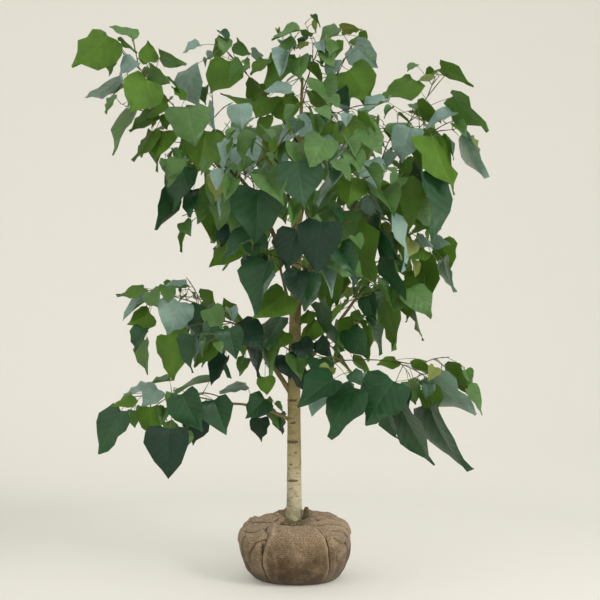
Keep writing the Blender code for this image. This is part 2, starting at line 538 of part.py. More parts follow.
@dataclass
class Leaf:
    """One leaf: its petiole from root to base, and the frame of its blade."""
    root: Vector
    base: Vector
    along: Vector
    across: Vector
    face: Vector
    length: float
    fold: float                 # angle of each half above the blade's plane
    curl: float                 # how far the tip bends back, as a share of the length

    def point(self, half_width, down, lift=0.0):
        """Place a point of the blade, given as shares of its length across and down the midrib."""
        out = half_width * self.length
        return (self.base + self.along * (down * self.length)
                + self.across * (out * math.cos(self.fold))
                + self.face * (abs(out) * math.sin(self.fold) - self.curl * down * down * self.length + lift))


def heart_outline():
    """The blade's rim, once round from the tip, as (half width, distance down the midrib)."""
    left = [(-width, down) for width, down in reversed(HEART[1:-1])]
    return list(HEART) + left


def add_blade(mesh, leaf, size=1.0, thickness=None):
    """Add a blade: two fans of facets that meet along the rim and fold along the midrib."""
    rim = heart_outline()
    half = (thickness or leaf.length * LEAF_THICKNESS) / 2.0
    made = bmesh.ops.create_uvsphere(mesh, u_segments=len(rim), v_segments=2, radius=1.0)
    for vert in made["verts"]:
        if abs(vert.co.z) > 0.5:
            vert.co = leaf.point(0.0, BLADE_CENTRE, math.copysign(half, vert.co.z))
            continue
        turn = math.atan2(vert.co.x, vert.co.y) % math.tau
        half_width, down = rim[round(turn / math.tau * len(rim)) % len(rim)]
        vert.co = leaf.point(half_width * size, BLADE_CENTRE + (down - BLADE_CENTRE) * size)
    return made["verts"]


def petiole_line(leaf, start=0.0):
    """The petiole's line, from the twig to the base of the blade."""
    return Line([leaf.root.lerp(leaf.base, start), leaf.base.copy()], [PETIOLE_RADIUS] * 2)


def petiole_ring(mesh, leaf, place, heading, is_end):
    """A three-sided ring of the petiole, turned with the blade so that the skin doesn't twist."""
    frame = Matrix((leaf.across, leaf.face, leaf.along)).transposed()
    turned = leaf.along.rotation_difference(heading).to_matrix() @ frame
    made = bmesh.ops.create_circle(
        mesh, cap_ends=is_end, segments=3, radius=PETIOLE_RADIUS,
        matrix=Matrix.Translation(place) @ turned.to_4x4())
    return list({edge for vert in made["verts"] for edge in vert.link_edges})


def add_leaf(mesh, leaf):
    """Add a leaf in one closed skin: the blade opened at its base and bridged to the petiole."""
    blade = add_blade(mesh, leaf)
    base = leaf.point(0.0, 0.0)
    notch = min(blade, key=lambda vert: (vert.co - base).length)
    opening = [edge for face in notch.link_faces for edge in face.edges if notch not in edge.verts]
    bmesh.ops.delete(mesh, geom=[notch], context="VERTS")
    heading = (leaf.base - leaf.root).normalized()
    root_ring = petiole_ring(mesh, leaf, leaf.root, heading, True)
    base_ring = petiole_ring(mesh, leaf, leaf.base, (heading + leaf.along * 0.9).normalized(), False)
    bmesh.ops.bridge_loops(mesh, edges=root_ring + base_ring)
    bmesh.ops.bridge_loops(mesh, edges=base_ring + opening)


# ---- growth ------------------------------------------------------------------------------
class Thicket:
    """The room that limbs, twigs and leaves already take up."""

    def __init__(self):
        self.taken = []

    def add(self, shell, owner=None):
        """Take up the room of a shell, which is used up."""
        self.taken.append((owner, *bounds(shell), BVHTree.FromBMesh(shell)))
        shell.free()

    def take(self, shell, owner=None):
        """Take up the room of a shell if it touches nothing, apart from what its owner holds."""
        low, high = bounds(shell)
        tree = BVHTree.FromBMesh(shell)
        shell.free()
        for holder, other_low, other_high, other in self.taken:
            is_near = all(low[i] <= other_high[i] and high[i] >= other_low[i] for i in range(3))
            if is_near and (owner is None or holder != owner) and tree.overlap(other):
                return False
        self.taken.append((owner, low, high, tree))
        return True


def bounds(mesh):
    """Lowest and highest corner of a mesh."""
    places = [vert.co for vert in mesh.verts]
    low = [min(place[i] for place in places) for i in range(3)]
    high = [max(place[i] for place in places) for i in range(3)]
    return low, high


def distance_to_chord(point, start, end):
    """How far a point lies from the straight line between start and end."""
    chord = end - start
    share = max(0.0, min(1.0, (point - start).dot(chord) / chord.length_squared))
    return (point - start - chord * share).length


def upright_frame(direction):
    """Two directions square to a twig: sideways, and the one nearest to up."""
    side = direction.cross(UP)
    side = side.normalized() if side.length > 0.05 else direction.cross(Vector((0, 1, 0))).normalized()
    return side, side.cross(direction).normalized()


def propose_leaf(rng, place, heading, turn, size, droop):
    """A leaf at a place on a twig, at a turn round it; its blade hangs from the petiole's end."""
    side, rise = upright_frame(heading)
    out = side * math.cos(turn) + rise * math.sin(turn)
    sag = UP * (LEAF_SAG + droop * rng.uniform(0.0, 1.5))
    reach = (out + heading * LEAF_AHEAD - sag).normalized()
    petiole = PETIOLE_LENGTH * size * rng.uniform(*PETIOLE_SPREAD)
    base = place + reach * petiole
    level = Vector((out.x + heading.x * 0.5, out.y + heading.y * 0.5, 0.0))
    lit = LIGHT * (TURN_TO_LIGHT * rng.uniform(*LIGHT_SPREAD))
    level = (level.normalized() * (1.0 - TURN_TO_LIGHT) + lit).normalized()
    hang = math.radians(
        rng.uniform(LEAST_HANG + LEAST_HANG_DROOP * droop, MOST_HANG + MOST_HANG_DROOP * droop))
    along = level * math.cos(hang) - UP * math.sin(hang)
    face = level * math.sin(hang) + UP * math.cos(hang)
    spin = Matrix.Rotation(math.radians(rng.uniform(-BLADE_SPIN, BLADE_SPIN)), 3, face)
    roll = Matrix.Rotation(math.radians(rng.uniform(-BLADE_ROLL, BLADE_ROLL)), 3, along)
    along = spin @ along
    face = roll @ face
    across = along.cross(face).normalized()
    face = across.cross(along).normalized()
    length = LEAF_LENGTH * size * rng.uniform(1.0 - LEAF_SPREAD, 1.0 + LEAF_SPREAD)
    fold = math.radians(rng.choice(FOLDS))
    return Leaf(place, base, along, across, face, length, fold, rng.uniform(*CURLS))


def on_elevation(column, row, depth):
    """The place behind a point of the front elevation, at a depth behind the trunk."""
    step = STEP * (depth - EYE.y) / -EYE.y
    return Vector((EYE.x + (column - EYE_PLACE) * step, depth, EYE.z - (row - EYE_PLACE) * step))


def marked_leaf(mark, depth):
    """The blade of a marked leaf, turned about its midrib until it looks as wide as marked."""
    base = on_elevation(mark.base_column, mark.base_row, depth)
    tip = on_elevation(mark.tip_column, mark.tip_row, depth - TIP_DIP)
    length = (tip - base).length
    along = (tip - base).normalized()
    view = (base - EYE).normalized()
    across = along.cross(view).normalized()
    width = mark.width * STEP * (depth - EYE.y) / -EYE.y
    share = width / (2.0 * WIDEST * length * math.cos(MARK_FOLD))
    turn = mark.side * math.acos(max(NARROWEST, min(1.0, share)))
    across = Matrix.Rotation(turn, 3, along) @ across
    face = across.cross(along).normalized()
    if (face.dot(view) > 0.0) != (mark.tone in UNDERSIDES):
        face = -face
        across = -across
    return Leaf(base, base, along, across, face, length, MARK_FOLD, MARK_CURL)


def hangs_free(leaf):
    """Whether the petiole reaches the blade from beyond its notch, or else from below it."""
    back = (leaf.root - leaf.base).normalized()
    sideways = abs(back.dot(leaf.across))
    is_beyond = back.dot(leaf.along) < 0.1 and back.dot(leaf.face) < 0.7 and sideways < 0.8
    is_below = back.dot(leaf.face) < 0.1 and back.dot(leaf.along) < 0.6 and sideways < 0.5
    return is_beyond or is_below


def blade_shell(leaf):
    """The room that a blade needs."""
    mesh = bmesh.new()
    add_blade(mesh, leaf, SHY, SHY_THICKNESS)
    return mesh


def petiole_shell(leaf):
    """The room that the free end of a petiole needs."""
    mesh = bmesh.new()
    add_tube(mesh, petiole_line(leaf, PETIOLE_FREE), 3, ROOM)
    return mesh


def leaf_shell(leaf):
    """The room that a leaf needs: its blade made larger, and the free end of its petiole."""
    mesh = petiole_shell(leaf)
    add_blade(mesh, leaf, SHY, SHY_THICKNESS)
    return mesh


def twig_shell(line):
    """The room that a twig needs."""
    mesh = bmesh.new()
    add_tube(mesh, line, 3, ROOM)
    return mesh


def foot_on(host, at):
    """Foot of a limb on its host, and the way that it faces where it carries on from the tip."""
    foot, heading = host.place(at)
    return (foot + heading * CLEARANCE, heading) if at == 1.0 else (foot, None)


def stem_line(spray, limbs):
    """The stem of a mass, from its place on its host to the tip."""
    foot, foot_heading = foot_on(limbs[spray.host], spray.at)
    return bent_line(
        foot, Vector(spray.tip), spray.bow, TWIG_RADIUS, TWIG_TIP_RADIUS, LIMB_STATIONS, foot_heading)


def grow_twigs(spray, stem, rng, thicket):
    """A mass's side twigs; one that would leave the space or touch anything is skipped."""
    twigs = []
    for index in range(spray.twigs):
        place, heading = stem.place(
            SIDE_TWIGS_FROM + SIDE_TWIGS_ALONG * (index + 0.5) / spray.twigs)
        side, rise = upright_frame(heading)
        for _ in range(TRIES):
            turn = math.pi * index + rng.uniform(-0.7, 0.7)
            out = heading * 0.9 + side * math.cos(turn) + rise * (math.sin(turn) * 0.6 + 0.25)
            out -= UP * (spray.droop * rng.uniform(0.0, 1.5))
            end = place + out.normalized() * (spray.reach * rng.uniform(0.75, 1.0))
            twig = bent_line(
                place, end, SIDE_TWIG_BOW, TWIG_RADIUS * SIDE_TWIG, TWIG_TIP_RADIUS, TWIG_STATIONS)
            is_inside = distance_to_chord(end, stem.points[0], stem.points[-1]) < spray.reach
            if is_inside and thicket.take(twig_shell(twig), spray.name):
                twigs.append(twig)
                break
    return twigs


def grow_leaves(spray, lines, rng, thicket):
    """Leaves along a mass's twigs; one that would leave the space or touch anything is skipped."""
    foot = lines[0].points[0]
    tip = lines[0].points[-1]
    leaves = []
    for line in lines:
        bare = STEM_BARE if line is lines[0] else TWIG_BARE
        count = max(1, round(line.length * (1.0 - bare) / INTERNODE))
        for index in range(count + 1):
            share = bare + (LAST_LEAF - bare) * index / count
            place, heading = line.place(share)
            size = spray.leaf_size * (1.0 - TIP_LOSS * share ** 3)
            turn = DIVERGENCE * index + rng.uniform(-0.5, 0.5)
            for attempt in range(TRIES):
                leaf = propose_leaf(rng, place, heading, turn + attempt * 0.9, size, spray.droop)
                far = max(distance_to_chord(leaf.point(*spot), foot, tip) for spot in HEART[:3])
                is_wanted = len(leaves) < spray.fill and far < spray.reach + LEAF_LENGTH / 2
                if is_wanted and hangs_free(leaf) and thicket.take(leaf_shell(leaf)):
                    leaves.append(leaf)
                    break
    return leaves


def reserve_marks(thicket):
    """The marked blades, each moved nearer or further until it is clear of what is there."""
    blades = []
    for index, mark in enumerate(MARKS):
        for shift in DEPTH_SHIFTS:
            blade = marked_leaf(mark, mark.depth + shift)
            if thicket.take(blade_shell(blade), index):
                blades.append((index, blade))
                break
    return blades


def hang_marks(blades, crown, thicket):
    """Join each marked blade by its petiole to the nearest twig with a free way to it."""
    places = []
    for name, lines in crown.items():
        for line in lines:
            bare = MARK_STEM_BARE if line is lines[0] else MARK_TWIG_BARE
            for index in range(MARK_PLACES + 1):
                share = bare + (LAST_LEAF - bare) * index / MARK_PLACES
                places.append((name, line.place(share)[0]))
    leaves = {name: [] for name in crown}
    for index, blade in blades:
        near = [(name, root) for name, root in places
                if SHORTEST_PETIOLE < (root - blade.base).length < LONGEST_PETIOLE]
        for name, root in sorted(near, key=lambda item: (item[1] - blade.base).length):
            leaf = replace(blade, root=root)
            if hangs_free(leaf) and thicket.take(petiole_shell(leaf), index):
                leaves[name].append(leaf)
                break
    return leaves


def limb_lines():
    """The line of the trunk and of each bough, by name."""
    lines = {"trunk": trunk_line()}
    for bough in BOUGHS:
        foot, foot_heading = foot_on(lines[bough.host], bough.at)
        lines[bough.name] = bent_line(
            foot, Vector(bough.tip), bough.bow, bough.foot_radius, bough.tip_radius,
            LIMB_STATIONS, foot_heading)
    return lines


def start_thicket(limbs, stems):
    """The room taken by the limbs and by every mass's stem, before anything else grows."""
    thicket = Thicket()
    for name, line in limbs.items():
        shell = bmesh.new()
        add_tube(shell, line, BOUGH_SIDES, ROOM)
        thicket.add(shell, name)
    for name, stem in stems.items():
        thicket.add(twig_shell(stem), name)
    return thicket


def grow_crown(limbs):
    """Grow every mass in turn: its lines of wood and its leaves, by name."""
    stems = {spray.name: stem_line(spray, limbs) for spray in SPRAYS}
    thicket = start_thicket(limbs, stems)
    blades = reserve_marks(thicket)
    rngs = {spray.name: random.Random(f"{spray.name} {CROWN_SEED}") for spray in SPRAYS}
    lines = {}
    for spray in SPRAYS:
        stem = stems[spray.name]
        lines[spray.name] = [stem] + grow_twigs(spray, stem, rngs[spray.name], thicket)
    leaves = hang_marks(blades, lines, thicket)
    for spray in SPRAYS:
        name = spray.name
        leaves[name] += grow_leaves(spray, lines[name], rngs[name], thicket)
    return {name: (lines[name], leaves[name]) for name in lines}


# ---- materials and objects ---------------------------------------------------------------
def plain_material(name, colour, roughness):
    """A matt material in one colour."""
    material = bpy.data.materials.new(name)
    material.use_nodes = True
    shader = material.node_tree.nodes["Principled BSDF"]
    shader.inputs["Base Color"].default_value = (*colour, 1.0)
    shader.inputs["Roughness"].default_value = roughness
    shader.inputs["Metallic"].default_value = 0.0
    material.diffuse_color = (*colour, 1.0)
    return material


def new_object(name, mesh, material=None):
    """Turn a bmesh into an object with its faces outward."""
    bmesh.ops.recalc_face_normals(mesh, faces=mesh.faces)
    data = bpy.data.meshes.new(name)
    mesh.to_mesh(data)
    mesh.free()
    thing = bpy.data.objects.new(name, data)
    bpy.context.scene.collection.objects.link(thing)
    if material:
        data.materials.append(material)
    return thing


def apply_boolean(thing, operation, solver, operand=None, group=None):
    """Apply one Boolean, with an object or with a whole collection."""
    cut = thing.modifiers.new("join", "BOOLEAN")
    cut.operation = operation
    cut.solver = solver
    if group:
        cut.operand_type = "COLLECTION"
        cut.collection = group
    else:
        cut.object = operand
    graph = bpy.context.evaluated_depsgraph_get()
    solid = bpy.data.meshes.new_from_object(thing.evaluated_get(graph))
    thing.modifiers.clear()
    old = thing.data
    thing.data = solid
    bpy.data.meshes.remove(old)


def keep_whole_body(thing):
    """Drop the scraps that fusing left loose, and keep the largest body."""
    mesh = bmesh.new()
    mesh.from_mesh(thing.data)
    left = set(mesh.verts)
    islands = []
    while left:
        island = {left.pop()}
        edge_of_island = set(island)
        while edge_of_island:
            reached = {edge.other_vert(vert) for vert in edge_of_island for edge in vert.link_edges}
            edge_of_island = reached - island
            island |= reached
        left -= island
        islands.append(island)
    largest = max(islands, key=len)
    scraps = [vert for island in islands if island is not largest for vert in island]
    bmesh.ops.delete(mesh, geom=scraps, context="VERTS")
    mesh.to_mesh(thing.data)
    mesh.free()


def remove_object(thing):
    """Remove an object and its mesh."""
    data = thing.data
    bpy.data.objects.remove(thing)
    bpy.data.meshes.remove(data)


def tube_object(name, line, sides, grow=0.0, material=None):
    """A tube as an object of its own."""
    mesh = bmesh.new()
    add_tube(mesh, line, sides, grow)
    return new_object(name, mesh, material)


def trim_foot(thing, host_line, host_sides):
    """Cut an object's foot clear of its host's surface."""
    sleeve = tube_object("sleeve", host_line, host_sides, CLEARANCE)
    apply_boolean(thing, "DIFFERENCE", "EXACT", operand=sleeve)
    remove_object(sleeve)


# ---- the parts ---------------------------------------------------------------------------
def cloth_swell(angle, height):
    """How much the cloth swells at an angle round the ball, as a share of the radius."""
    top = max(0.0, min(1.0, (height - 0.15) / 0.07))
    lumps = math.sin(2 * angle + 0.9) * 0.5 + math.sin(3 * angle + 3.6) * 0.5
    gathers = math.sin(7 * angle + 0.4) * 0.6 + math.sin(11 * angle + 1.3) * 0.4
    return 1.0 + LUMP_DEPTH * lumps * (1.0 - 0.5 * top) + FOLD_DEPTH * gathers * top


def make_root_ball(material):
    """The wrapped ball: a profile spun round the axis, then swollen and folded."""
    mesh = bmesh.new()
    line = [(share * BALL_RADIUS, height) for share, height in BALL_PROFILE] + list(COLLAR_PROFILE)
    profile = [mesh.verts.new((radius, 0.0, height)) for radius, height in line]
    edges = [mesh.edges.new(pair) for pair in zip(profile, profile[1:])]
    bmesh.ops.spin(
        mesh, geom=profile + edges, cent=(0, 0, 0), axis=(0, 0, 1), angle=math.tau,
        steps=BALL_SIDES, use_merge=True)
    bmesh.ops.remove_doubles(mesh, verts=mesh.verts, dist=1e-5)
    rims = [edge for edge in mesh.edges if edge.is_boundary]
    bmesh.ops.holes_fill(mesh, edges=rims, sides=0)
    for vert in mesh.verts:
        place = vert.co
        angle = math.atan2(place.y, place.x)
        is_collar = math.hypot(place.x, place.y) < COLLAR_PROFILE[0][0] + 0.001 and place.z > 0.1
        if is_collar and place.z > SOIL_HEIGHT + 0.001:
            place.z += COLLAR_TILT * math.sin(angle)
        swell = 1.0 if is_collar else cloth_swell(angle, place.z)
        low = 1.0 - min(1.0, place.z / BALL_PROFILE[4][1])
        place.x = place.x * swell + BALL_BASE_SHIFT * low
        place.y = place.y * swell
    return new_object("root_ball", mesh, material)


def make_trunk(line, material):
    """The trunk, whole from its flat foot to its tip."""
    return tube_object("trunk", line, TRUNK_SIDES, 0.0, material)


def make_bough(bough, limbs, material):
    """A bough, its foot cut to fit round its host."""
    thing = tube_object(bough.name, limbs[bough.name], BOUGH_SIDES, 0.0, material)
    if bough.at < 1.0:
        sides = TRUNK_SIDES if bough.host == "trunk" else BOUGH_SIDES
        trim_foot(thing, limbs[bough.host], sides)
    return thing


def make_cut_stub(material):
    """The stub of a cut shoot, standing in the soil beside the trunk."""
    foot = Vector((*STUB_FOOT, SOIL_HEIGHT + CLEARANCE))
    top = foot + Vector((STUB_LEAN, 0.0, STUB_HEIGHT))
    line = bent_line(foot, top, 0.0, STUB_RADIUS, STUB_RADIUS * 0.85, 2, UP)
    return tube_object("cut_stub", line, 8, 0.0, material)


def make_spray(spray, limbs, lines, leaves, material):
    """One mass of foliage: stem, side twigs, petioles and blades fused into one solid."""
    stem = tube_object(spray.name, lines[0], 3, 0.0, material)
    sides = TRUNK_SIDES if spray.host == "trunk" else BOUGH_SIDES
    trim_foot(stem, limbs[spray.host], sides)
    group = bpy.data.collections.new(spray.name + "_group")
    bpy.context.scene.collection.children.link(group)
    pieces = [tube_object("twig", line, 3) for line in lines[1:]]
    for leaf in leaves:
        mesh = bmesh.new()
        add_leaf(mesh, leaf)
        pieces.append(new_object("leaf", mesh))
    for piece in pieces:
        bpy.context.scene.collection.objects.unlink(piece)
        group.objects.link(piece)
    apply_boolean(stem, "UNION", "MANIFOLD", group=group)
    for piece in pieces:
        remove_object(piece)
    bpy.data.collections.remove(group)
    keep_whole_body(stem)
    return stem


def main():
    """Build the sapling."""
    for thing in list(bpy.data.objects):
        bpy.data.objects.remove(thing)
    burlap = plain_material("burlap", (0.36, 0.26, 0.16), 0.95)
    bark = plain_material("bark", (0.37, 0.32, 0.20), 0.80)
    young_bark = plain_material("young_bark", (0.20, 0.17, 0.08), 0.75)
    leaf_green = plain_material("leaf_green", (0.06, 0.13, 0.04), 0.55)
    limbs = limb_lines()
    by_name = {spray.name: spray for spray in SPRAYS}
    make_root_ball(burlap)
    make_trunk(limbs["trunk"], bark)
    make_cut_stub(bark)
    for bough in BOUGHS:
        make_bough(bough, limbs, young_bark)
    for name, (lines, leaves) in grow_crown(limbs).items():
        make_spray(by_name[name], limbs, lines, leaves, leaf_green)


if __name__ == "__main__":
    main()
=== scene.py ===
"""Looks of a sapling with its root ball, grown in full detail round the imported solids.

Metres, +Z up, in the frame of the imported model: the ball stands on the floor at z = 0, the tree is
seen from the front along +Y, and +X is to the right. The crown grows by the same rule as the solids:
the leaves that make its outline are marked on the front elevation, and seeded twigs and leaves fill
the rest. Here it carries on to finer shoots, and every leaf has its full outline.
"""

import logging
import math
import random
from collections.abc import Callable
from dataclasses import dataclass, field, replace
from enum import Enum

import bmesh
import bpy
from mathutils import Matrix, Vector, noise
from mathutils.bvhtree import BVHTree


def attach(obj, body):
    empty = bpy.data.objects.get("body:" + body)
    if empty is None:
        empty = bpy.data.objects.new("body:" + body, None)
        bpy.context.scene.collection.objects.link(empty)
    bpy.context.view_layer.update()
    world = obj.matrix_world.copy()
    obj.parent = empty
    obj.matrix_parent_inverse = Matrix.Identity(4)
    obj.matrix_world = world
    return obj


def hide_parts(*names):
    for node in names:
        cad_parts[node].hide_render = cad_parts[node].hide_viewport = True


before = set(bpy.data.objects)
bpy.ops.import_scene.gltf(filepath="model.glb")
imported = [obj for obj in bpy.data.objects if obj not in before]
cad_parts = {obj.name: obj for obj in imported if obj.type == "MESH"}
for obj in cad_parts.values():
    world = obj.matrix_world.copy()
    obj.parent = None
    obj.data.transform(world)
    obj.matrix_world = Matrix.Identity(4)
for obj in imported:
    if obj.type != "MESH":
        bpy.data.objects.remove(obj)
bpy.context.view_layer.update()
LOG = logging.getLogger("sapling")

UP = Vector((0.0, 0.0, 1.0))
CLEARANCE = 0.0004  # gap between solids that meet
Colour = tuple[float, float, float]
Mesh = bmesh.types.BMesh
Material = bpy.types.Material
Socket = bpy.types.NodeSocket


def srgb(red: int, green: int, blue: int) -> Colour:
    """Turn a colour from 0 to 255 into linear values.

    Args:
        red, green, blue: its channels.

    Returns:
        The channels from 0 to 1.
    """
    def linear(value: int) -> float:
        """One channel."""
        share = value / 255.0
        return share / 12.92 if share <= 0.04045 else ((share + 0.055) / 1.055) ** 2.4
    return linear(red), linear(green), linear(blue)


def clamp(value: float) -> float:
    """Keep a value between 0 and 1."""
    return max(0.0, min(1.0, value))


def ray(turn: float) -> Vector:
    """The level direction at a turn round the trunk."""
    return Vector((math.cos(turn), math.sin(turn), 0.0))


class Tone(Enum):
    """How a leaf looks from the side that it shows."""
    # Some tones hold painted light: SHEEN is a painted sheen of the sky on the upper side, DEEP and DARK are
    # partly painted shade, and BRIGHT is a paler underside brightened as painted light shining through the
    # blade.
    DEEP = "deep"
    DARK = "dark"
    MID = "mid"
    SHEEN = "sheen"
    BRIGHT = "bright"
    YOUNG = "young"


DEEP, DARK, MID, SHEEN, BRIGHT, YOUNG = Tone
UNDERSIDES = (BRIGHT, YOUNG)  # marked leaves that turn their underside to the front


# ---- tables of the tree's limbs, masses and marked leaves
@dataclass(frozen=True)
class Limb:
    """A tapering limb, from a place on its host to its tip."""
    name: str
    host: str
    at: float  # place on the host, as a share of its length
    tip: tuple[float, float, float]
    bow: float  # rise of its middle above a straight line
    foot_radius: float
    tip_radius: float


@dataclass(frozen=True)
class Spray:
    """A mass of foliage: a stem from its host to its tip, with side twigs and leaves."""
    name: str
    host: str
    at: float
    tip: tuple[float, float, float]
    reach: float  # radius of the mass's own space round its stem
    twigs: int
    fill: int  # most leaves that it grows besides the marked ones
    bow: float
    droop: float  # pull on its twigs and petioles, down
    leaf_size: float


@dataclass(frozen=True)
class Mark:
    """A leaf set out on the front elevation, in its steps; the growth then works round it."""
    base_column: float
    base_row: float
    tip_column: float
    tip_row: float
    width: float  # as it looks from the front
    depth: float  # of the blade's base, behind the trunk, in metres
    tone: Tone
    side: int = 1  # 1 or -1: which half turns away from the front


BOUGHS = (
    Limb("bough_left_main", "trunk", 0.525, (-0.16, -0.05, 1.39), 0.02, 0.0095, 0.007),
    Limb("bough_left_upper", "bough_left_main", 1.0, (-0.32, -0.08, 1.56), 0.005, 0.0066, 0.0042),
    Limb("bough_left_slender", "trunk", 0.845, (-0.095, 0.05, 1.73), 0.0, 0.0045, 0.0034),
    Limb("bough_right_centre", "trunk", 0.765, (0.095, -0.05, 1.685), 0.0, 0.0055, 0.0038),
    Limb("bough_right_main", "trunk", 0.53, (0.18, 0.0, 1.28), -0.01, 0.0085, 0.0066),
    Limb("bough_right_upper", "bough_right_main", 1.0, (0.345, -0.03, 1.545), 0.02, 0.0062, 0.004),
    Limb("bough_right_middle", "trunk", 0.325, (0.24, 0.05, 1.035), -0.01, 0.0085, 0.005),
    Limb("bough_left_tier", "trunk", 0.275, (-0.18, -0.03, 0.9), 0.01, 0.01, 0.006),
    Limb("bough_left_low", "trunk", 0.222, (-0.25, -0.03, 0.63), 0.018, 0.007, 0.0042),
    Limb("bough_right_low", "trunk", 0.315, (0.175, -0.05, 0.785), 0.015, 0.007, 0.0044),
    Limb("bough_back_high", "trunk", 0.64, (0.06, 0.3, 1.5), 0.01, 0.007, 0.0045),
    Limb("bough_back_low", "trunk", 0.42, (-0.06, 0.3, 1.12), 0.01, 0.0075, 0.0046),
    Limb("bough_front_high", "trunk", 0.6, (-0.03, -0.26, 1.4), 0.01, 0.0068, 0.0044),
    Limb("bough_front_low", "trunk", 0.44, (0.06, -0.24, 1.15), 0.01, 0.0068, 0.0044),
)

